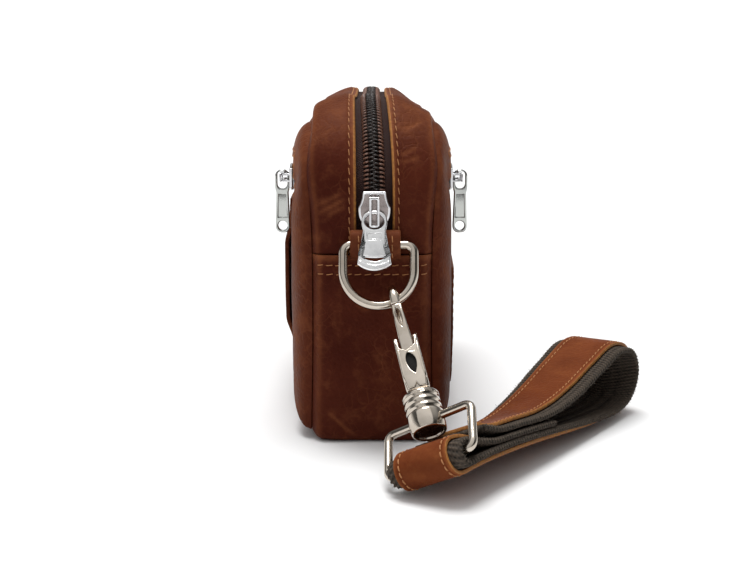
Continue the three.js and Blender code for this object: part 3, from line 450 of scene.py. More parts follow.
def plate(loops, thick, bevel, origin, x_axis, y_axis, shift=0.0):
    """Flat plate with rounded edges from an outline and its holes, moved by shift along its own normal."""
    curve = bpy.data.curves.new("plate", "CURVE")
    curve.dimensions = "2D"
    curve.fill_mode = "BOTH"
    curve.extrude = thick / 2 - bevel
    curve.bevel_depth = bevel
    curve.bevel_resolution = 3
    curve.offset = -bevel
    for loop in loops:
        spline = curve.splines.new("POLY")
        spline.points.add(len(loop) - 1)
        for point, (px, py) in zip(spline.points, loop):
            point.co = (px, py, 0, 1)
        spline.use_cyclic_u = True
    holder = bpy.data.objects.new("plate", curve)
    mesh = bpy.data.meshes.new_from_object(holder)
    points = np.array([v.co for v in mesh.vertices])
    faces = [list(p.vertices) for p in mesh.polygons]
    bpy.data.meshes.remove(mesh)
    bpy.data.objects.remove(holder)
    bpy.data.curves.remove(curve)
    z_axis = np.cross(x_axis, y_axis)
    placed = origin + points[:, :1] * x_axis + points[:, 1:2] * y_axis + (points[:, 2:] + shift) * z_axis
    return placed, faces


def run_of(points):
    """Distance along a row of points at each of them."""
    return np.concatenate([[0], np.cumsum(np.linalg.norm(np.diff(points, axis=0), axis=1))])


def resample(points, values, distances):
    """Values that go with a row of points, at those distances along it."""
    run = run_of(points)
    return np.stack([np.interp(distances, run, column) for column in values.T], -1)


def stitches(name, rows, pitch=3.3, radius=0.18, slant=0.2, proud=0.11):
    """Rows of sewing thread: each stitch rises from the leather and dips into it at both ends."""
    reach = np.linspace(-1, 1, 9)
    paths, radii = [], []
    for points, normals in rows:
        length = run_of(points)[-1]
        count = max(2, round(length / pitch))
        for i in range(count):
            at = (i + 0.5 + RNG.uniform(-0.05, 0.05)) * length / count
            spots = at + reach * 0.4 * pitch
            centre = resample(points, points, spots)
            normal = unit(resample(points, normals, spots))
            sideways = unit(np.cross(normal, np.gradient(centre, axis=0)))
            lift = proud * (1 - reach**4) - 0.28 * reach**4
            lean = slant * RNG.uniform(0.6, 1.3)
            paths.append(centre + normal * lift[:, None] + sideways * (reach * lean)[:, None])
            radii.append(radius * (1 - 0.35 * reach**4))
    paths = np.array(paths)
    across = unit(np.cross(paths[:, -1] - paths[:, 0], [0.31, 0.52, 0.79]))[:, None]
    piece(name, [tubes(paths, np.array(radii), across)], "bag", [THREAD], weld=False)


# Leather shell


def side_outline(seam_z, corner_z, radius, sign):
    """Side outline of the bag from one end to the other: y, z and the outward direction at a distance along it."""
    upright = abs(corner_z - seam_z)
    bend = radius * math.pi / 2
    total = 2 * (upright + bend + HALF_LENGTH - radius)

    def at(distance):
        distance = np.asarray(distance, float)
        far = distance > total / 2
        run = np.where(far, total - distance, distance)
        turn = np.clip((run - upright) / radius, 0, math.pi / 2)
        y = -HALF_LENGTH + radius * (1 - np.cos(turn)) + np.clip(run - upright - bend, 0, None)
        z = seam_z + sign * (np.minimum(run, upright) + radius * np.sin(turn))
        ny, nz = -np.cos(turn), sign * np.sin(turn)
        return np.where(far, -y, y), z, np.where(far, -ny, ny), nz

    return at, total


ZIP_AT, ZIP_LENGTH = side_outline(END_SEAM_Z + SEAM_GAP, HEIGHT - TOP_RADIUS, TOP_RADIUS, 1)
BASE_OUTLINES = []
for radius in BASE_RADII:
    at, _ = side_outline(END_SEAM_Z - SEAM_GAP, radius, radius, -1)
    upright, bend = END_SEAM_Z - SEAM_GAP - radius, radius * math.pi / 2
    BASE_OUTLINES.append((at, np.cumsum([0, upright, bend, 2 * (HALF_LENGTH - radius), bend, upright])))


def settle(points):
    middle = np.cos(points[..., 1] / HALF_LENGTH * math.pi / 2) ** 2
    points[..., 2] -= TOP_SAG * smooth(points[..., 2], 70, HEIGHT) * middle
    return points


def seam_half(z):
    return SEAM_HALF_WIDTH + 1.9 * ridge(z, 97, 15) + 0.8 * ridge(z, 0, 26)


def slot_half(nz):
    return lerp(SLOT_END, SLOT_TOP, nz * nz)


def zip_drift(nz):
    return lerp(DRIFT_END, DRIFT_TOP, nz * nz)


def roll_in(share):
    return EDGE_ROLL * np.clip((share - 0.86) / 0.14, 0, None) ** 2


def zip_gusset(distance, share, side):
    y, z, ny, nz = ZIP_AT(distance)
    drop = lerp(END_DOME, TOP_DOME, nz * nz) * (0.4 * share**2 + 0.6 * share**8) + roll_in(share)
    x = lerp(side * slot_half(nz) + zip_drift(nz), side * seam_half(z), share)
    x = x + side * SHOULDER_OVERHANG * nz * nz * 16 * share**6 * (1 - share)
    return settle(stacked(x, y - ny * drop, z - nz * drop))


def base_frame(station, across):
    """y, z and outward direction on the base; stations count its five runs and its seams have rounder corners."""
    spots = (np.array(np.broadcast_arrays(*at(np.interp(station, range(6), runs)))) for at, runs in BASE_OUTLINES)
    y, z, ny, nz = lerp(*spots, np.abs(across) ** 6)
    size = np.hypot(ny, nz)
    return y, z, ny / size, nz / size


def base_gusset(station, across):
    y, z, ny, nz = base_frame(station, across)
    share = np.abs(across)
    bend = np.clip((share - BASE_FLAT_SHARE) / (1 - BASE_FLAT_SHARE), 0, None) ** 4
    drop = lerp(END_DOME, BASE_DOME, nz * nz) * bend + roll_in(share)
    return stacked(across * seam_half(z), y - ny * drop, z - nz * drop)


# Creases on the near end, beside the zip and on the base: two (x, z) ends and a depth
ZIP_CREASES = {
    -1: [((-20, 83), (-9, 88.5), 0.22), ((-19, 80.5), (-8, 86.6), 0.26), ((-16, 79.5), (-8.2, 84), 0.2)],
    1: [((9, 100), (16, 103.5), 0.22), ((9.5, 98), (17, 100), 0.18), ((10, 108), (18, 113), 0.2)],
}
BASE_CREASES = [((-16.5, 12), (-4.5, 1.2), 0.3), ((6, 60), (12, 44), 0.12), ((-14, 52), (-11, 34), 0.12)]


def folds_on(points, last_y, lines, width):
    """Depth of the shallow, slightly bowed creases on the near end, which stop at last_y."""
    x, y, z = np.moveaxis(points, -1, 0)
    total = np.zeros(x.shape)
    for (x0, z0), (x1, z1), depth in lines:
        run = math.hypot(x1 - x0, z1 - z0)
        tx, tz = (x1 - x0) / run, (z1 - z0) / run
        along = (x - x0) * tx + (z - z0) * tz
        off = (x - x0) * tz - (z - z0) * tx
        bow = 0.06 * along * (1 - along / run)
        fade = smooth(along, 0, run * 0.3) * (1 - smooth(along, run * 0.7, run))
        total += depth * fade * ridge(off, bow, width)
    return np.where(y < last_y, total, 0)


def dressed_zip_gusset(distance, share, side):
    """The gusset with its dents, a rounded cut edge and a stitch groove beside the zip, its slump and creases."""
    points = zip_gusset(distance, share, side)
    _, _, ny, nz = ZIP_AT(distance)
    share = np.broadcast_to(share, points.shape[:-1])
    keep = smooth(share, 0.05, 0.3) * (1 - smooth(share, 0.78, 0.97))
    bulge = keep * (1 - 0.6 * nz * nz) * dents(points, (0.55, 24, 3.1 + side), (0.16, 8, 7.7 + side))
    inset = share * (seam_half(points[..., 2]) - slot_half(nz))
    groove = -0.3 * ridge(inset, ZIP_STITCH, 0.7)
    edge = -0.75 * np.clip(1 - inset / 0.9, 0, 1) ** 2 - 0.7 * nz * nz * (1 - smooth(inset, 0, 3.5))
    folds = folds_on(points, -60, ZIP_CREASES[side], 0.7)
    lip = nz * nz * ridge(share, 0.88, 0.12)
    points[..., 0] += side * SHOULDER_LIP * lip
    slump = lerp(*SLUMP[side], smooth(points[..., 1], -40, 40)) * nz * nz * TOP_DOME * (share**2 - share**8)
    return points + stacked(0 * nz, ny, nz) * (bulge + groove + edge - slump - folds)[..., None], folds


def dressed_base_gusset(station, across):
    """The base with its dents, two stitch grooves below a proud upper edge, and its creases."""
    points = base_gusset(station, across)
    _, _, ny, nz = base_frame(station, across)
    share = np.broadcast_to(np.abs(across), points.shape[:-1])
    keep = (1 - smooth(share, 0.8, 0.97)) * (1 - smooth(np.abs(nz), 0.6, 0.95))
    bulge = keep * dents(points, (0.5, 30, 1.7), (0.12, 9, 4.2))
    below = END_SEAM_Z - points[..., 2]
    proud = 0.75 * (1 - smooth(below, 1.0, 9.0)) * (1 - smooth(share, 0.94, 1.0))
    groove = -0.28 * (ridge(below, 3.6, 0.7) + ridge(below, 6.8, 0.7)) * (share < 0.97)
    folds = folds_on(points, -74, BASE_CREASES, 0.6)
    return points + stacked(0 * nz, ny, nz) * (bulge + proud + groove - folds)[..., None], folds


def line_on(surface, *line, **fixed):
    """Points of a line on a dressed surface and the outward directions there, from three neighbouring lines."""
    grid = np.stack([surface(*(a + k * d for a, d in line), **fixed)[0] for k in (-1, 0, 1)], 1)
    return grid[:, 1], normals_of(grid, grid - MIDDLE)[:, 1]


ZIP_RUN = np.linspace(0, ZIP_LENGTH, 330)
GUSSET_SHARES = spans((0, 0.06, 7), (0.06, 0.3, 12), (0.3, 0.78, 12), (0.78, 1, 15))
GUSSET_WIDTH = 15
for side, word in ((-1, "left"), (1, "right")):
    grid, folds = dressed_zip_gusset(ZIP_RUN[:, None], GUSSET_SHARES[None], side)
    _, z, _, nz = ZIP_AT(ZIP_RUN)
    inset = GUSSET_SHARES[None] * GUSSET_WIDTH
    # Lighter at the cut edge, along the creases and towards the top. The top's lightening is partly wear and partly
    # painted top light and sheen.
    wear_and_painted_light = 0.5 * (1 - smooth(inset, 0.6, 2.4)) + 0.42 * smooth(nz[:, None], 0.35, 0.95) + 2.0 * folds
    wear_and_painted_light = wear_and_painted_light + 0.3 * ridge(GUSSET_SHARES[None], 0.88, 0.06)
    shell(f"zip_gusset_{word}", grid, grid - MIDDLE, wear_and_painted_light, [DARK, RAW], round_edge=0.3, raw=5)
    at = ZIP_STITCH / (seam_half(z) - slot_half(nz))
    stitches(f"zip_stitch_{word}", [line_on(dressed_zip_gusset, (ZIP_RUN, 0), (at, 0.01), side=side)])

BASE_RUN = spans(*((k, k + 1, n) for k, n in enumerate((110, 28, 60, 28, 110))))
HALF_SHARES = spans((0, 0.8, 15), (0.8, 1, 10))
BASE_SHARES = np.concatenate([-HALF_SHARES[:0:-1], HALF_SHARES])
BASE_UPRIGHT = 63.1
grid, folds = dressed_base_gusset(BASE_RUN[:, None], BASE_SHARES[None])
below = END_SEAM_Z - grid[..., 2]
wear_and_painted_light = 0.55 * (1 - smooth(below, 0.3, 3.0)) + 0.28 * ridge(np.abs(BASE_SHARES[None]), 0.9, 0.06) + 1.4 * folds
shell("base_gusset", grid, grid - MIDDLE, wear_and_painted_light, [DARK], round_edge=0.5)
across = np.linspace(-0.93, 0.93, 60)
rows = []
for inset in BASE_STITCHES:
    for station in (inset / BASE_UPRIGHT, 5 - inset / BASE_UPRIGHT):
        rows.append(line_on(dressed_base_gusset, (np.full(60, station), 0.001), (across, 0)))
stitches("base_stitch", rows)

# Panels


def panel_face(name):
    """Points and faces of a panel before it is packed, and the share of the way from the rim at each point."""
    zip_rim = zip_gusset(np.linspace(0, ZIP_LENGTH, 200), 1.0, 1)
    base_rim = base_gusset(np.linspace(5, 0, 210), 1.0)
    rim = np.concatenate([zip_rim, base_rim])
    shares = spans((0, 0.04, 5), (0.04, 0.24, 15), (0.24, 0.97, 24))
    share = shares[:, None]
    rise = 1 - np.minimum(share, PANEL_SHOULDER) / PANEL_SHOULDER
    swell = lerp(rim[None, :, 0] + GAP, PANEL_X[name] - PANEL_DISH, np.sqrt(1 - rise * rise))
    x = lerp(swell, PANEL_X[name], smooth(share, 0.2, 1))
    y = lerp(rim[None, :, 1], 0, share)
    z = lerp(rim[None, :, 2], MIDDLE[2], share)
    points = np.stack([SIDE[name] * x, y, z], -1).reshape(-1, 3)
    rows, cols = x.shape
    centre, last = rows * cols, (rows - 1) * cols
    faces = quads(rows, cols, wrap_cols=True)
    faces += [[last + i, last + (i + 1) % cols, centre] for i in range(cols)]
    points = np.concatenate([points, [[SIDE[name] * PANEL_X[name], 0, MIDDLE[2]]]])
    return points, faces, np.append(np.repeat(shares, cols), 1.0)


PANELS = {}
for name in SIDE:
    points, faces, _ = panel_face(name)
    PANELS[name] = BVHTree.FromPolygons(points.tolist(), faces)


def panel_out(name, y, z):
    """Distance of a panel's outer face from the middle plane, before it is packed."""
    y, z = np.broadcast_arrays(np.asarray(y, float), np.asarray(z, float))
    hits = []
    for py, pz in zip(y.ravel(), z.ravel()):
        place, *_ = PANELS[name].ray_cast(Vector((SIDE[name] * 100, py, pz)), Vector((-SIDE[name], 0, 0)))
        hits.append(abs(place.x))
    return np.array(hits).reshape(y.shape)


SLOT_LOW = POCKET_Z - POCKET_SLOT / 2
SLOT_HIGH = POCKET_Z + POCKET_SLOT / 2 + 2.4
# How far the slot's upper and lower lips stand out, and how far a panel is drawn in at the slot's ends and
# under the pull
LIPS = {"front": (0.8, -0.2), "back": (0.3, -0.4)}
PINCH = {"front": 1.1, "back": 1.5}
UNDER_PULL = {"front": 0.7, "back": 1.5}
# How much a panel's shoulder is lightened: partly wear, partly painted light, more on the back panel, whose side is
# lit
PANEL_SHOULDER_WEAR_AND_LIGHT = {"front": 0.3, "back": 0.5}


def filled(name, y, z):
    """How far a packed panel stands out further; it is drawn in at the pocket zip, at its ends and under its pull."""
    far = np.abs(y)
    beside = 1 - smooth(far, POCKET_HALF, POCKET_HALF + 9)
    above = np.where(z > POCKET_Z, np.exp(-np.clip(z - SLOT_HIGH, 0, None) / 3.2), 0)
    under = np.where(z < POCKET_Z, np.exp(-np.clip(SLOT_LOW - z, 0, None) / 3.0), 0)
    upper, lower = LIPS[name]
    if name == "back":
        stuffed = 0.8 * ridge(z, 66, 24) * (1 - smooth(far, 50, 74))
    else:
        stuffed = 0.7 * ridge(z, 42, 26) * smooth(far, 45, 52) * (1 - smooth(far, 62, 76))
    pinch = PINCH[name] * ridge(z, 91.5, 9) * ridge(far, 65, 11)
    pinch = pinch + UNDER_PULL[name] * ridge(z, 74, 12) * ridge(y, SIDE_SLIDER_Y, 9)
    return beside * (upper * above + lower * under) + stuffed - pinch


def packed(z, y, name):
    return stacked(SIDE[name] * (panel_out(name, y, z) + filled(name, y, z)), y, z)


def panel(name):
    """Packed panel with the slot of its pocket zip cut out."""
    side = SIDE[name]
    points, faces, shares = panel_face(name)
    bm = bmesh.new()
    share_of = bm.verts.layers.float.new("share")
    verts = []
    for place, share in zip(points, shares):
        verts.append(bm.verts.new(place))
        verts[-1][share_of] = share
    for face in faces:
        bm.faces.new([verts[i] for i in face])
    steps = (0, 0.6, 1.4, 2.6, 4.2, 6.5)
    planes = [((0, 0, z), Z) for z in (*(SLOT_HIGH + d for d in steps), *(SLOT_LOW - d for d in steps))]
    planes += [((0, k * (POCKET_HALF + d), 0), Y) for d in (0, 1, 3) for k in (-1, 1)]
    for place, direction in planes:
        near = [f for f in bm.faces if abs(f.calc_center_median().z - POCKET_Z) < 16]
        edges = {e for f in near for e in f.edges}
        corners = {v for f in near for v in f.verts}
        bmesh.ops.bisect_plane(bm, geom=[*corners, *edges, *near], dist=1e-4, plane_co=place, plane_no=direction)
    hole = []
    for face in bm.faces:
        middle = face.calc_center_median()
        if abs(middle.y) < POCKET_HALF and SLOT_LOW < middle.z < SLOT_HIGH:
            hole.append(face)
    bmesh.ops.delete(bm, geom=hole, context="FACES")
    places = np.array([v.co for v in bm.verts])
    share = np.array([v[share_of] for v in bm.verts])
    _, y, z = places.T
    uneven = smooth(share, 0.03, 0.25) * dents(places, (0.45, 38, 2.3 * side), (0.18, 11, 5.1 * side))
    from_slot = np.maximum(np.abs(z - (SLOT_LOW + SLOT_HIGH) / 2) - (SLOT_HIGH - SLOT_LOW) / 2, 0)
    beside = (1 - smooth(from_slot, 0.5, 4)) * (np.abs(y) < POCKET_HALF + 4)
    places[:, 0] += side * (uneven * (1 - beside) + filled(name, y, z))
    # Lighter at the shoulder, beside the slot and towards the top. The slot's lips are wear. The shoulder and the top
    # are partly wear and partly painted light.
    wear_and_painted_light = PANEL_SHOULDER_WEAR_AND_LIGHT[name] * ridge(share, 0.1, 0.08) + 0.4 * beside + 0.28 * smooth(z, 65, 110)
    for vert, place in zip(bm.verts, places):
        vert.co = place * MM
    mesh = bpy.data.meshes.new(f"{name}_panel_leather")
    bmesh.ops.triangulate(bm, faces=[f for f in bm.faces if len(f.verts) > 4])
    bm.normal_update()
    if sum(f.normal.x * f.calc_area() for f in bm.faces) * side < 0:
        bmesh.ops.reverse_faces(bm, faces=bm.faces)
    bm.to_mesh(mesh)
    bm.free()
    mesh.materials.append(DARK)
    mesh.materials.append(RAW)
    mesh.attributes.new("wear_and_painted_light", "FLOAT", "POINT").data.foreach_set("value", wear_and_painted_light)
    marks = []
    for face in mesh.polygons:
        _, cy, cz = face.center / MM
        marks.append(abs(cy) < POCKET_HALF and (SLOT_HIGH < cz < SLOT_HIGH + 0.7 or SLOT_LOW - 0.7 < cz < SLOT_LOW))
    mesh.polygons.foreach_set("material_index", np.array(marks, int))
    obj = riding(mesh, "bag", [f"{name}_panel"])
    thick = obj.modifiers.new("thickness", "SOLIDIFY")
    thick.thickness = LEATHER * MM
    thick.offset = -1
    soften(obj, 0.3)


def face_row(surface, normal, zs, ys, *more):
    """Row of points on a large face, with its outward direction."""
    zs, ys = np.broadcast_arrays(np.asarray(zs, float), np.asarray(ys, float))
    return surface(zs, ys, *more), np.tile(normal, (len(zs), 1))


low, high, end = SLOT_LOW - POCKET_STITCH, SLOT_HIGH + POCKET_STITCH, POCKET_HALF + POCKET_STITCH
for name, side in SIDE.items():
    panel(name)
    lines = [(z, np.linspace(-end, end, 90)) for z in (high, low)]
    lines += [(np.linspace(low, high, 14), y) for y in (-end, end)]
    stitches(f"{name}_pocket_stitch", [face_row(packed, side * X, *line, name) for line in lines])

# Belt loop and slip pocket
LOOP_LOW, LOOP_HIGH, LOOP_HALF, LOOP_SEWN = 16.0, 80.0, 28.0, 8.0
LOOP_MIDDLE = 48
LOOP_FLAT = float(panel_out("back", 0, LOOP_MIDDLE))
LOOP_BOW = 3


def belt_loop(z, y):
    from_end = 32 - np.abs(z - LOOP_MIDDLE)
    stand = smooth(from_end, LOOP_SEWN, LOOP_SEWN + 10)
    seated = panel_out("back", y, z) + filled("back", y, z) + GAP + 0.15
    x = lerp(seated, LOOP_FLAT + LOOP_BOW, stand) + LEATHER
    return stacked(-(x + dents(stacked(0 * z, y, z), (0.25, 16, 9.3))), y, z)


zs, ys = np.linspace(LOOP_LOW, LOOP_HIGH, 90)[:, None], np.linspace(-LOOP_HALF, LOOP_HALF, 60)[None]
wear_and_painted_light = 0.15 * smooth(np.abs(ys), LOOP_HALF - 3, LOOP_HALF) + 0.25 * ridge(np.abs(zs - LOOP_MIDDLE), 22, 4)
shell("belt_loop", belt_loop(zs, ys), -X, wear_and_painted_light, [DARK])
end = 25.4
low, high = (LOOP_LOW + 2.3, LOOP_LOW + 7), (LOOP_HIGH - 7, LOOP_HIGH - 2.3)
lines = [(z, np.linspace(-end, end, 50)) for z in (*low, *high[::-1])]
lines += [(np.linspace(*ends, 6), y) for y in (-end, end) for ends in (low, high)]
stitches("belt_loop_stitch", [face_row(belt_loop, -X, *line) for line in lines], proud=0.02)

SLIP_LOW, SLIP_HIGH, SLIP_HALF = 12.0, 56.0, 44.0


def slip_pocket(z, y):
    mouth = 1.1 * smooth(z, SLIP_HIGH - 30, SLIP_HIGH) * (1 - (y / SLIP_HALF) ** 2)
    x = panel_out("front", y, z) + 0.2 + 0.35 * smooth(z, SLIP_LOW, SLIP_LOW + 20) + mouth + LEATHER
    return stacked(x + dents(stacked(0 * z, y, z), (0.22, 18, 4.4)), y, z)


zs, ys = np.linspace(SLIP_LOW, SLIP_HIGH, 60)[:, None], np.linspace(-SLIP_HALF, SLIP_HALF, 90)[None]
wear_and_painted_light = 0.5 * smooth(zs, SLIP_HIGH - 3, SLIP_HIGH) + 0.2 * smooth(np.abs(ys), SLIP_HALF - 2.5, SLIP_HALF)
wear_and_painted_light = wear_and_painted_light + 0.3 * (1 - smooth(zs, SLIP_LOW, SLIP_LOW + 3))
shell("slip_pocket", slip_pocket(zs, ys), X, wear_and_painted_light, [DARK])
low, high, end = SLIP_LOW + 2.4, SLIP_HIGH - 2.4, 41.6
lines = [(z, np.linspace(-end, end, 80)) for z in (high, low)]
lines += [(np.linspace(low, high, 40), y) for y in (-end, end)]
stitches("slip_pocket_stitch", [face_row(slip_pocket, X, *line) for line in lines], proud=0.02)

# Ring tab: folded leather, sewn down beside both cut edges
TAB_X, TAB_HALF = 1.1, 8.5
tab = outline(
    (GAP, 65.6), (GAP, 74.0), ((GAP + 0.4, 75.6), (2.4, 75.6)), (2.8, 75.6), ((6.0, 75.6), (6.0, 72.4)),
    (5.4, 68.0), (3.25, 65.6),
)
tunnel = [(3.2 + 1.9 * math.cos(a), 70.6 + 1.9 * math.sin(a)) for a in np.linspace(-0.5, math.pi + 0.5, 20)]
tunnel.append((2.9, 66.9))
points, faces = plate([tab, tunnel], 2 * TAB_HALF, 0.5, np.array([TAB_X, -HALF_LENGTH, 0]), -Y, Z)
inset = TAB_HALF - np.abs(points[:, 0] - TAB_X)
layers = {"wear_and_painted_light": 0.4 * (1 - smooth(inset, 0.2, 1.2)) + 0.2 * smooth(points[:, 2], 74.2, 75.6)}
tab_piece = piece(
    "ring_tab_leather", [(points, faces)], "bag", [DARK, RAW], ["ring_tab"], layers, weld=False
)
cut_faces = [1 if abs(p.normal.x) > 0.97 else 0 for p in tab_piece.data.polygons]
tab_piece.data.polygons.foreach_set("material_index", cut_faces)
front = np.array([(5.4, 74.7), (6.0, 72.4), (5.7, 70.2), (5.4, 68.0), (3.6, 66.0)])
rows = []
for x in (TAB_X - TAB_HALF + 2.9, TAB_X + TAB_HALF - 2.8):
    rows.append((stacked(x, -HALF_LENGTH - front[:, 0], front[:, 1]), np.tile(-Y, (5, 1))))
stitches("ring_tab_stitch", rows, slant=0.1)

# Zip tapes and coils


def on_main_zip(distance, x, height):
    y, z, ny, nz = ZIP_AT(distance)
    depth = lerp(*TAPE_DEPTH, nz * nz) - height
    return settle(stacked(zip_drift(nz) + x, y - ny * depth, z - nz * depth))


def on_pocket_zip(name):
    end = POCKET_HALF + POCKET_TAPE_END
    spots = np.linspace(-end, end, 41)
    faces = [panel_out(name, spots, POCKET_Z + k * 8) for k in (-1, 0, 1)]
    face = np.min(faces, axis=0) - LEATHER - GAP

    def place(distance, x, height):
        y = np.asarray(distance, float) - POCKET_HALF - POCKET_TAPE_END
        return stacked(SIDE[name] * (np.interp(y, spots, face) + height), y, POCKET_Z + x)

    return place


# One turn of a coil, from its tape to the middle and back: distance from the middle and height
TOOTH = np.array([
    (3.35, 0.1), (3.3, 0.75), (2.8, 1.45), (1.8, 1.8), (0.7, 1.95), (-0.15, 1.85), (-0.5, 1.35), (-0.2, 0.85),
    (0.7, 0.6), (1.9, 0.45), (3.0, 0.25),
])


def zip_coil(name, place, first, last, rise):
    """Interlocked coil: turns from both tapes meet in the middle; their outer bends are copper-coloured."""
    parts = []
    for side, phase in ((-1, 0.0), (1, 0.5)):
        starts = np.arange(first + phase * TOOTH_PITCH, last, TOOTH_PITCH)[:, None]
        lead = np.linspace(-0.28, 0.3, len(TOOTH))[None] * TOOTH_PITCH
        path = place(starts + lead, side * TOOTH[None, :, 0], TOOTH[None, :, 1] * rise)
        thick = np.interp(np.arange(len(TOOTH)), [0, 4, 5, 6, 10], [0.36, 0.34, 0.36, 0.34, 0.28])
        for span, mark in ((slice(0, 4), 1), (slice(3, None), 0)):
            parts.append((*tubes(path[:, span], thick[None, span], [[[0.37, 0.61, 0.7]]]), mark))
    piece(f"{name}_coil", parts, "bag", [COIL, COPPER], weld=False)


def zip_tape(name, place, first, last, half, steps):
    run = np.linspace(first, last, steps)[:, None]
    parts, weave = [], []
    for side in (-1, 1):
        xs = side * np.linspace(0.25, half, 12)[None]
        grid = place(run, xs, 0.0)
        points, faces, rims = sheet(grid, TAPE, place(run, xs, 5.0) - grid)
        parts.append((points, faces + rims))
        weave.append(np.tile(stacked(run, xs, 0.0).reshape(-1, 3), (2, 1)))
    layers = {"weave": np.concatenate(weave)}
    piece(f"{name}_tape_cloth", parts, "bag", [TAPE_CLOTH], [f"{name}_zip_tape"], layers, weld=False)


zip_tape("main", on_main_zip, 2.9, ZIP_LENGTH - 2.9, TAPE_HALF, 260)
zip_coil("main", on_main_zip, 3.5, ZIP_LENGTH - 3.5, 1.0)
for name in SIDE:
    place = on_pocket_zip(name)
    zip_tape(name, place, 0, 2 * POCKET_HALF + 2 * POCKET_TAPE_END, 9.6, 60)
    zip_coil(name, place, 3.2, 2 * POCKET_HALF + 2.8, 0.75)

# Sliders and pulls. A slider's own axes: across the zip, along it to the wide end, and away from it

BODY = mirrored(
    (0.0, 6.3), (3.5, 6.3), ((3.9, 6.3), (3.9, 5.9)), ((4.1, 3.4), (5.4, 1.0)), ((5.5, -2.6), (4.2, -4.2)),
    (3.3, -6.3), (0.0, -6.3),
)
CROWN_RIM = outline(
    (-1.7, 4.2), ((-1.7, 4.9), (0, 4.9)), ((1.7, 4.9), (1.7, 4.2)), (1.7, -4.4), ((1.7, -5.3), (0, -5.3)),
    ((-1.7, -5.3), (-1.7, -4.4)),
)
CROWN_HOLLOW = outline(
    (-1.0, 3.6), ((-1.0, 4.1), (0, 4.1)), ((1.0, 4.1), (1.0, 3.6)), (1.0, -4.0), ((1.0, -4.6), (0, -4.6)),
    ((-1.0, -4.6), (-1.0, -4.0)),
)


def slider(name, origin, across, along, bridge, width):
    """Slider with two plates, a post between them and a bridge for its pull at that height."""
    out = np.cross(across, along)

    def layer(loops, thick, bevel, height, size=1.0):
        loops = [[(x * width * size, y * size) for x, y in loop] for loop in loops]
        return plate(loops, thick, bevel, origin + out * height, across, along)

    parts = [
        layer([BODY], 1.25, 0.4, 1.38),
        (*layer([BODY], 0.3, 0.08, 1.92, 0.86), 1),
        layer([BODY], 0.6, 0.2, 0.3, 0.95),
        layer([ellipse(0, 3.2, 1.6, 2.6)], 0.8, 0.1, 0.7),
    ]
    high, low = bridge - 0.3, bridge - 1.5
    arch = outline(
        (-5.4, 1.2), (-5.4, high - 1.4), ((-5.3, high), (-3.8, high)), (3.4, high), ((5.4, high), (5.6, 1.2)),
        (4.0, 1.2), ((3.9, bridge - 1.6), (3.2, low)), (-3.5, low), ((-3.8, bridge - 1.6), (-3.8, 1.2)),
    )
    for k in (-1, 1):
        parts.append(plate([arch], 0.8 * width, 0.25, origin, along, out, k * 1.3 * width))
    parts.append(layer([CROWN_RIM, CROWN_HOLLOW], 0.62, 0.18, bridge - 0.31))
    piece(f"{name}_slider_metal", parts, "bag", [CHROME, SATIN], [f"{name}_slider"])


slider("main", np.array([0.8, -HALF_LENGTH - 0.05, 82.25]), X, Z, 6.6, 1.0)
for name, side in SIDE.items():
    slider(name, np.array([SIDE_SLIDER_X[name], SIDE_SLIDER_Y, POCKET_Z]), side * Z, -Y, 5.7, 0.88)


def hanging(degrees):
    """Direction that hangs down and leans away from the near end."""
    lean = math.radians(degrees)
    return np.array([0, -math.sin(lean), -math.cos(lean)])


# Main pull, seen from its front: a ring eye, a sunk window, a raised field and a curved finger slot
rim = mirrored(
    (0.0, -1.2), ((2.6, -1.2), (3.85, 0.6)), ((4.85, 2.4), (3.8, 5.6)), (5.7, 17.0), ((3.2, 19.2), (0.0, 19.2)),
)
eye = ellipse(0, 2.6, 3.25, 2.55)
window = outline((-2.3, 6.5), (2.3, 6.5), (2.4, 8.3), (-2.4, 8.3))
slot = outline((-3.7, 14.6), ((0, 15.3), (3.7, 14.6)), ((0, 17.3), (-3.7, 14.6)))
field = outline((-2.75, 8.9), (2.75, 8.9), (3.75, 14.1), ((0, 14.8), (-3.75, 14.1)))
foot = mirrored((0.0, 17.2), ((2.6, 17.0), (4.9, 15.6)), (5.4, 16.9), ((3.1, 18.9), (0.0, 18.9)))
at = (np.array([0.8, -84.2, 81.15]), -X, hanging(18.5))
parts = [
    plate([rim, eye, window, slot], 1.5, 0.4, *at),
    plate([[(x * 1.06, y) for x, y in window]], 0.5, 0.05, *at, -0.3),
    plate([field], 0.7, 0.25, *at, 0.65),
    plate([foot], 0.7, 0.3, *at, 0.6),
]
# The main pull takes the brighter, painted-lit copy of the pull metal
piece("main_pull_metal", parts, "zip_pull", [PULL_PAINTED_LIT], ["main_pull"])

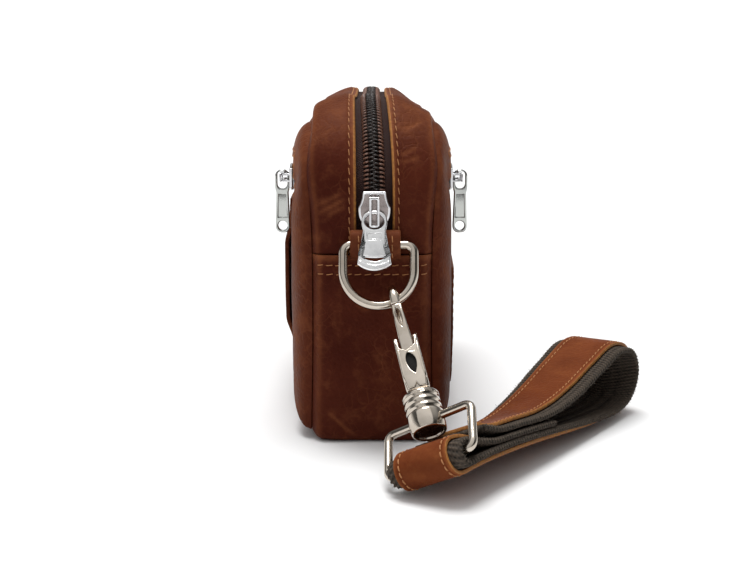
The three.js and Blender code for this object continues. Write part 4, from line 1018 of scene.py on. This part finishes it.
# Side pulls: an oblong eye, a flat shaft with a sunk middle and a round hole at the foot
rim = mirrored(
    (0.0, -0.65), ((1.08, -0.65), (1.84, 0.11)), ((2.6, 0.87), (2.6, 1.95)), (2.6, 5.6), ((2.5, 6.9), (2.2, 7.6)),
    (2.6, 19.8), ((2.6, 22.4), (0.0, 22.4)),
)
eye = mirrored((0.0, 0.0), ((1.75, 0.0), (1.75, 1.5)), (1.75, 4.4), ((1.75, 6.3), (0.0, 6.3)))
hole = ellipse(0, 19.8, 1.7, 1.7)
sunk = outline((-1.35, 8.4), (1.35, 8.4), (1.55, 16.6), (-1.55, 16.6))
for (name, side), body in zip(SIDE.items(), ("right_pull", "left_pull")):
    top = np.array([SIDE_SLIDER_X[name] + side * 4.95, SIDE_SLIDER_Y, POCKET_Z + 1.95])
    at = (top, -side * X, -Z)
    parts = [
        plate([rim, eye, hole, sunk], 1.9, 0.42, *at),
        plate([[(x * 1.1, y) for x, y in sunk]], 1.3, 0.05, *at),
    ]
    # The side pulls take the darker, painted-shaded copy of the pull metal
    piece(f"{name}_pull_metal", parts, body, [PULL_PAINTED_SHADED], [f"{name}_pull"])

# End ring
RING_BAR = np.array([2.2, -83.2, 70.6])
RING_HALF, RING_CORNER, RING_DROP = 11.9, 2.8, 20.6
RING_WIRE = 1.6
RING_DOWN = hanging(19.5)
RING_BOWL = RING_DROP - RING_HALF


def on_ring(across, drop):
    return RING_BAR + np.asarray(across)[..., None] * X + np.asarray(drop)[..., None] * RING_DOWN


straight = RING_HALF - RING_CORNER
path = []
for across, drop, radius, low, high, steps in (
    (straight, RING_CORNER, RING_CORNER, -90, 0, 10),
    (0, RING_BOWL, RING_HALF, 0, 180, 60),
    (-straight, RING_CORNER, RING_CORNER, 180, 270, 10),
):
    angle = np.radians(np.linspace(low, high, steps))
    path.append(on_ring(across + radius * np.cos(angle), drop + radius * np.sin(angle)))
ring = sweep(np.concatenate(path), np.cross(X, RING_DOWN), RING_WIRE, RING_WIRE, closed=True)
piece("end_ring_metal", [ring], "bag", [NICKEL], ["d_ring"])

# Snap hook, in its own frame: out to the gate's side, along its axis, across
HOOK_AXIS = unit([0.205, -0.697, -0.687])
HOOK_OUT = unit(np.cross(HOOK_AXIS, [0.966, 0.033, 0.255]))
HOOK_SIDE = unit(np.cross(HOOK_OUT, HOOK_AXIS))
HOOK_CONTACT = on_ring(5.6, RING_BOWL + math.sqrt(RING_HALF**2 - 5.6**2))


def on_hook(out, along, across=0.0):
    out, along, across = np.broadcast_arrays(*(np.asarray(v, float) for v in (out, along, across)))
    return HOOK_CONTACT + out[..., None] * HOOK_OUT + along[..., None] * HOOK_AXIS + across[..., None] * HOOK_SIDE


def turned(profile, sides=56):
    """Turned form about the hook's axis, from pairs of a radius and a distance along it."""
    radius, along = np.array(profile, float).T
    angle = around(sides)[:, None]
    ring = HOOK_OUT * np.cos(angle) + np.cross(HOOK_AXIS, HOOK_OUT) * np.sin(angle)
    points = HOOK_CONTACT + along[:, None, None] * HOOK_AXIS + radius[:, None, None] * ring
    return points.reshape(-1, 3), skin(len(profile), sides)


def curve_through(rows, steps):
    """Smooth row of points through the given ones, evenly spaced along the way."""
    rows = np.asarray(rows, float)
    rows = np.concatenate([[2 * rows[0] - rows[1]], rows, [2 * rows[-1] - rows[-2]]])
    gaps = np.maximum(np.linalg.norm(np.diff(rows, axis=0), axis=1) ** 0.5, 1e-4)
    dense = [rows[1:2]]
    t = np.linspace(0, 1, 41)[1:, None]
    for i in range(1, len(rows) - 2):
        p0, p1, p2, p3 = rows[i - 1 : i + 3]
        d0, d1, d2 = gaps[i - 1 : i + 2]
        m1 = ((p1 - p0) / d0 - (p2 - p0) / (d0 + d1) + (p2 - p1) / d1) * d1
        m2 = ((p2 - p1) / d1 - (p3 - p1) / (d1 + d2) + (p3 - p2) / d2) * d1
        dense.append(p1 + m1 * t + (3 * (p2 - p1) - 2 * m1 - m2) * t**2 + (2 * (p1 - p2) + m1 + m2) * t**3)
    dense = np.concatenate(dense)
    return resample(dense, dense, np.linspace(0, run_of(dense)[-1], steps))


# The hook's body: a tapering crook, a block with two cheeks, a bent cover whose window shows a near-black sheet of
# painted shade for the hollow, and a stem
crook = [(5.15, 4.1), (5.35, 3.0)]
crook += [(5.5 * math.cos(a), 1.9 - 5.5 * math.sin(a)) for a in np.linspace(0, math.pi, 14)]
crook += [(-5.5, 10), (-5.5, 20), (-4.6, 26), (-2.8, 31), (-2.0, 34)]
crook = curve_through(crook, 110)
share = np.linspace(0, 1, 110)
half_in = np.interp(share, [0, 0.04, 0.12, 0.2, 1], [0.9, 1.0, 1.5, 1.7, 1.7])
half_across = np.interp(share, [0, 0.08, 0.2, 0.35, 1], [1.6, 1.5, 1.35, 1.55, 1.8])
cheek = outline(
    (-4.0, 33.0), (-4.4, 27.5), ((-2.4, 25.2), (0.4, 23.0)), ((2.4, 20.6), (3.7, 16.9)), ((4.1, 16.2), (4.3, 17.0)),
    ((5.2, 22.0), (4.5, 33.0)),
)
block = outline(
    (-4.3, 29.6), ((-1.5, 30.2), (0.6, 30.4)), ((3.0, 30.6), (4.3, 31.2)), ((4.4, 34.0), (3.2, 36.0)), (-3.0, 36.0),
    ((-4.2, 33.5), (-4.3, 29.6)),
)
cover = outline(
    (-3.75, 16.6), ((-2.9, 18.6), (-2.6, 20.8)), (-0.5, 22.2), (2.4, 20.4), ((2.8, 18.4), (3.75, 16.2)),
    ((4.0, 24.0), (3.7, 31.0)), (3.0, 35.8), (0.8, 35.9), (0.1, 34.3), (-0.8, 35.9), (-3.0, 35.8), (-3.7, 31.0),
    ((-4.0, 24.0), (-3.75, 16.6)),
)
drop = outline(
    (-0.4, 23.1), ((-1.5, 24.3), (-1.4, 26.6)), ((-1.0, 29.8), (0.5, 31.0)), ((1.6, 29.2), (1.7, 26.6)),
    ((1.6, 24.0), (-0.4, 23.1)),
)
stem = [(0.05, 34.5), (2.4, 34.5), (2.6, 35.0), (2.6, 36.2), (1.8, 36.4), (1.8, 40.5), (0.05, 40.6)]
plane = (HOOK_CONTACT, HOOK_OUT, HOOK_AXIS)
parts = [
    sweep(on_hook(crook[:, 0], crook[:, 1]), HOOK_SIDE, half_in, half_across),
    plate([block], 7.7, 0.9, *plane),
    *(plate([cheek], 1.3, 0.5, *plane, side * 3.2) for side in (-1, 1)),
]
points, faces = plate([cover[:-1], drop[:-1]], 0.8, 0.3, HOOK_CONTACT + HOOK_OUT * 4.9, HOOK_SIDE, HOOK_AXIS)
aside = (points - HOOK_CONTACT) @ HOOK_SIDE
parts.append((points - 0.06 * aside[:, None] ** 2 * HOOK_OUT, faces))
# A near-black matte sheet behind the cover's window: painted shade for the hollow
shade_sheet = [ellipse(0.15, 27.1, 2.2, 4.5)]
parts.append((*plate(shade_sheet, 0.12, 0.03, HOOK_CONTACT + HOOK_OUT * 4.12, HOOK_SIDE, HOOK_AXIS), 1))
parts.append(turned(stem, 32))
piece("hook_metal", parts, "hook", [NICKEL, PAINTED_SHADE], ["hook_body"])

# Gate: a rounded blade with a slim window, on its pin between the cheeks
GATE_TIP, GATE_PIN = (5.1, 4.5), (2.8, 25)
lean = math.atan2(GATE_TIP[0] - GATE_PIN[0], GATE_PIN[1] - GATE_TIP[1])
GATE_DOWN = HOOK_AXIS * math.cos(lean) - HOOK_OUT * math.sin(lean)
blade = outline(
    (-1.6, -0.05), (1.6, -0.05), (1.9, 7.0), (2.3, 15.5), (1.4, 18.0), (-0.9, 22.0), (-2.2, 22.0), (-1.9, 7.0)
)
slim = outline(
    (-0.2, 1.4), ((-0.75, 2.6), (-0.75, 4.2)), ((-0.5, 7.0), (0.15, 8.2)), ((0.75, 6.4), (0.65, 4.0)),
    ((0.5, 2.0), (-0.2, 1.4)),
)
pin = on_hook(*GATE_PIN, np.linspace(-2.35, 2.35, 4))
parts = [
    plate([blade, slim], 1.7, 0.55, on_hook(*GATE_TIP), HOOK_SIDE, GATE_DOWN),
    tubes([pin], 1.0, [[HOOK_AXIS]], 20),
]
piece("gate_metal", parts, "gate", [NICKEL], ["hook_gate"])

# Swivel barrel: a flange, three grooves and a hollow underside, with a near-black disc in it as painted shade
profile = [(0.05, 41.0), (2.15, 41.0), (2.15, 37.0), (5.2, 36.9), (5.75, 37.05), (6.0, 37.5), (6.0, 38.0), (5.7, 38.5)]
groove = ((5.85, -0.75), (5.85, -0.55), (5.2, -0.1), (5.2, 0.1), (5.85, 0.55))
for along in (39.0, 41.2, 43.4):
    profile += [(radius, along + step) for radius, step in groove]
profile += [(5.9, 44.6), (5.9, 47.0), (5.6, 49.9), (5.3, 50.3), (4.7, 50.3), (4.5, 49.9), (4.4, 48.6), (0.05, 48.5)]
# A near-black disc inside the underside's hollow: painted shade
shade_disc = turned([(0.05, 48.7), (4.35, 48.8), (4.4, 49.5), (3.6, 49.75), (0.05, 49.8)])
piece("barrel_metal", [turned(profile), (*shade_disc, 1)], "bag", [NICKEL, COIL], ["swivel_barrel"])

# Strap sizes
STRAP_ACROSS = unit([0.81, -0.4, 0.43])
STRAP_HEADING = (58.0, 54.0)
STRAP_COURSE = lerp(*STRAP_HEADING, 0.6)
STRAP_SETTLED = 130
WEB_HALF, WEB_THICK = 13.4, 2.0
WEB_CORNER, WEB_FACE = 0.9, 0.95
STRIP_HALF, STRIP_THICK = 9.5, 1.3
STRAP_GAP = 0.45
STRAP_RUN = STRIP_THICK + STRAP_GAP + WEB_THICK / 2
STRAP_FOLD = 3.4
FOLD_HEIGHT = STRAP_RUN + STRAP_FOLD
OVER_FLOOR = 0.15

# Wire loop between the barrel and the strap
LOOP_BAR = unit([0.796, -0.38, 0.465])
LOOP_HALF_WIDTH, LOOP_CORNER, LOOP_WIRE = 15.8, 2.8, 1.4
LOOP_CENTRE = on_hook(0.0, 45.9) + LOOP_BAR * 0.9
swing = math.radians(-12)
straight = unit(HOOK_AXIS - LOOP_BAR * HOOK_AXIS.dot(LOOP_BAR))
LOOP_DOWN = straight * math.cos(swing) + np.cross(LOOP_BAR, straight) * math.sin(swing)
heading = math.radians(STRAP_HEADING[0])
STRAP_UP = unit(np.cross(STRAP_ACROSS, [math.cos(heading), math.sin(heading), 0]))
FOLD_Z = OVER_FLOOR + WEB_HALF * STRAP_ACROSS[2] + FOLD_HEIGHT * STRAP_UP[2]
LOOP_LEG = (FOLD_Z - LOOP_CENTRE[2]) / LOOP_DOWN[2]
STRAP_START = LOOP_CENTRE + LOOP_DOWN * LOOP_LEG + LOOP_BAR * 0.4 - STRAP_UP * FOLD_HEIGHT
corners = []
for k, drop in ((-1, 0), (1, 0), (1, LOOP_LEG), (-1, LOOP_LEG)):
    corners.append(LOOP_CENTRE + LOOP_BAR * k * LOOP_HALF_WIDTH + LOOP_DOWN * drop)
path = []
t = np.linspace(0, 1, 14)[:, None]
for i, corner in enumerate(corners):
    start = corner + unit(corners[i - 1] - corner) * LOOP_CORNER
    stop = corner + unit(corners[(i + 1) % 4] - corner) * LOOP_CORNER
    path.append((1 - t) ** 2 * start + 2 * t * (1 - t) * corner + t**2 * stop)
loop = sweep(np.concatenate(path), np.cross(LOOP_BAR, LOOP_DOWN), LOOP_WIRE, LOOP_WIRE, closed=True)
piece("strap_loop_metal", [loop], "bag", [NICKEL], ["strap_loop"])

# Wrist strap: webbing faced with a leather strip, on its edge at the loop and flat further on


def strap_point(t, height, across):
    t, height, across = np.broadcast_arrays(*(np.asarray(v, float) for v in (t, height, across)))
    settled = smooth(t, 0, STRAP_SETTLED)
    heading = np.radians(lerp(*STRAP_HEADING, settled))
    lift = STRAP_ACROSS[2] * (1 - settled)
    level = np.sqrt(1 - lift * lift)
    flat = math.atan2(STRAP_ACROSS[1], STRAP_ACROSS[0])
    turn = lerp(flat, heading - math.pi / 2, settled)
    wide = np.stack([level * np.cos(turn), level * np.sin(turn), lift], -1)
    up = unit(np.cross(wide, np.stack([np.cos(heading), np.sin(heading), 0 * heading], -1)))
    course = np.radians(np.where(t < 0, STRAP_HEADING[0], STRAP_COURSE))
    x, y = STRAP_START[0] + t * np.cos(course), STRAP_START[1] + t * np.sin(course)
    base = np.stack([x, y, WEB_HALF * wide[..., 2] + OVER_FLOOR], -1)
    return base + up * height[..., None] + wide * across[..., None]


# The webbing's middle as pairs of a distance from the loop and a height: out along the top, round, and to the fold
tail = STRAP_RUN + WEB_THICK + GAP
route = [
    (14, 10.6), (22, 8.3), (36, 7.9), (54, 8.4), (74, 12.6), (94, 20), (109, 25.2), (119.5, 22.8), (123.5, 15),
    (118.5, 7), (107, 3.4), (94, STRAP_RUN), (45, STRAP_RUN), (6, STRAP_RUN),
]
for angle in np.linspace(0, math.pi, 7):
    route.append((-STRAP_FOLD * math.sin(angle), FOLD_HEIGHT - STRAP_FOLD * math.cos(angle)))
route += [(4, tail + 3.9), (10, tail + 1.8), (17, tail + 0.3), (24, tail), (56, tail)]
ROUTE = curve_through(route, 1100)
ROUTE_TURN = headings(ROUTE)
ROUTE_LENGTH = run_of(ROUTE)[-1]


def on_strap(distance, out, across):
    """Point of the strap at a distance along it, out from the webbing's middle and across its width."""
    run = np.linspace(0, ROUTE_LENGTH, len(ROUTE))
    t, h, dt, dh = (np.interp(distance, run, v) for v in (*ROUTE.T, *ROUTE_TURN.T))
    return strap_point(t - dh * out, h + dt * out, across)


RIB = 1.5
run = np.arange(0, ROUTE_LENGTH, 0.31)[:, None]
flat = np.linspace(-WEB_HALF + WEB_CORNER, WEB_HALF - WEB_CORNER, 19)
bend = np.radians(np.linspace(60, -60, 5))
section = []
for k in (1, -1):
    section += [(across, k * WEB_FACE, 0.0) for across in flat[::k]]
    for b in bend:
        section.append((k * (WEB_HALF - WEB_CORNER + WEB_FACE * math.cos(b)), k * WEB_FACE * math.sin(b), 1.0))
across, out, edge = np.array(section).T[:, None]
skew = 0.5 * np.clip(np.abs(across) - 8, 0, None) * np.sign(out)
wave = np.cos(2 * math.pi * (run / RIB + skew))
relief = lerp(0.14, 0.26, edge) * wave + 0.08 * np.cos(2 * math.pi * across / 1.6) * (1 - edge)
relief = relief + lerp(0.06, 0.16, edge) * noise_of(stacked(run, 3 * across, 3 * out), 1.9, 8.3)
points = on_strap(run, out + np.sign(out) * relief, across + np.sign(across) * edge * 0.16 * wave)
parts = [(points, skin(*points.shape[:2]))]
layers = {"weave": stacked(run, across, out).reshape(-1, 3)}
piece("strap_webbing_cloth", parts, "bag", [WEBBING], ["strap_webbing"], layers, weld=False)

# Loose fibres along the webbing's edges
FIBRES = 1500


def drawn(low, high):
    return RNG.uniform(low, high, FIBRES)[:, None]


start = drawn(1, ROUTE_LENGTH - 1)
side = RNG.choice([-1.0, 1.0], FIBRES)[:, None]
level, length, lean, rise = drawn(-0.9, 0.9), drawn(0.3, 1.0), drawn(-1.0, 1.0), drawn(-0.8, 0.8)
reach = np.array([0.0, 0.35, 0.7, 1.0])[None]
along = start + lean * length * reach**1.5
hairs = on_strap(along, level + rise * length * reach, side * (WEB_HALF - 0.1 + length * reach))
hairs[..., 2] = np.maximum(hairs[..., 2], 0.1)
hairs = tubes(hairs, np.array([[0.05, 0.045, 0.04, 0.02]]), [[[0.3, 0.5, 0.81]]], 3)
piece("strap_lint", [hairs], "bag", [LINT], weld=False)

# Leather strip, with a row of stitches beside each cut edge
STRIP_OUT = WEB_THICK / 2 + STRAP_GAP + STRIP_THICK
STRIP_LENGTH = ROUTE_LENGTH * (1 - np.argmax(ROUTE[::-1, 0] < 12) / len(ROUTE))
STRIP_FLAT = 7.6


def strip_face(distance, width):
    groove = -0.18 * ridge(np.abs(width), STRIP_HALF - STRIP_STITCH, 0.6)
    flat = stacked(distance, width, 0.0 * distance)
    swell = dents(flat, (0.16, 14, 6.6)) * (1 - smooth(np.abs(width), 6, 9))
    waver = dents(flat * [1, 0, 0], (0.16, 11, 2.9)) * smooth(np.abs(width), 7, 10)
    return on_strap(distance, STRIP_OUT + groove + swell, width + waver)


run = np.linspace(1.5, STRIP_LENGTH, 620)[:, None]
across = spans((-STRIP_HALF, -STRIP_FLAT, 9), (-STRIP_FLAT, STRIP_FLAT, 18), (STRIP_FLAT, STRIP_HALF, 9))[None]
grid = strip_face(run, across)
wear_and_painted_light = 0.55 * smooth(np.abs(across), STRIP_HALF - 1.3, STRIP_HALF)
away = on_strap(run, STRIP_OUT + 4, across) - grid
shell("strap_strip", grid, away, wear_and_painted_light, [RUST, RAW], STRIP_THICK, 0.25, cut=1)
rows = []
line = np.linspace(4, STRIP_LENGTH - 3, 600)
for side in (-1, 1):
    width = np.full(600, side * (STRIP_HALF - STRIP_STITCH))
    place = strip_face(line, width)
    rows.append((place, unit(on_strap(line, STRIP_OUT + 4, width) - place)))
stitches("strap_stitch", rows, pitch=2.3, radius=0.25, slant=0.12)

# Floor, light and camera
bpy.ops.mesh.primitive_plane_add(size=40, location=(0, 0, -0.0001))
floor = bpy.context.object
floor.name = "floor"
paper = material("floor_paper")
tone = paper.mix(paper.noise(paper.coords(), 3, 2), (0.86, 0.86, 0.86), (0.88, 0.88, 0.88))
floor.data.materials.append(paper.shade(Base_Color=tone, Roughness=0.7))

# The studio is bright overhead and up to the horizon, dark in between, and dimmer behind the camera
world = bpy.data.worlds.new("studio")
bpy.context.scene.world = world
studio = Nodes(world, "Background")
place = studio.add("TexCoord", "Generated", {})
depth, height = (studio.add("SeparateXYZ", axis, {0: place}) for axis in "YZ")
ramp = studio.add("ValToRGB", "Color", {"Fac": height})
stops = ramp.node.color_ramp.elements
for position, level in ((0.0, 1.0), (0.1, 0.9), (0.26, 0.2), (0.5, 0.14), (0.75, 0.6)):
    stop = stops.new(position) if position else stops[0]
    stop.color = (level, level, level, 1.0)
shaded = studio.add("VectorMath", 0, {0: ramp, 1: studio.fit(depth, -0.5, 0.5, 0.22)}, operation="MULTIPLY")
studio.shade(Color=shaded, Strength=1.1)


def sun(name, azimuth, elevation, strength, spread):
    light = bpy.data.lights.new(name, "SUN")
    light.energy = strength
    light.angle = math.radians(spread)
    obj = bpy.data.objects.new(name, light)
    a, e = math.radians(azimuth), math.radians(elevation)
    toward = Vector((math.cos(e) * math.sin(a), -math.cos(e) * math.cos(a), math.sin(e)))
    obj.rotation_euler = toward.to_track_quat("Z", "Y").to_euler()
    bpy.context.collection.objects.link(obj)


sun("key", -155, 82, 2.5, 30)
sun("fill", -25, 52, 1.0, 90)

PHOTO_WIDTH, FOCAL, PITCH = 753, 1200, 10.8
camera = bpy.data.cameras.new("camera")
camera.sensor_width = 36.0
camera.lens = FOCAL / PHOTO_WIDTH * 36.0
view = bpy.data.objects.new("camera", camera)
view.location = (0.0015, -0.483, 0.134)
view.rotation_euler = (math.radians(90 - PITCH), 0, 0)
bpy.context.collection.objects.link(view)
bpy.context.scene.camera = view
bpy.context.scene.view_settings.view_transform = "Standard"

bpy.context.view_layer.update()
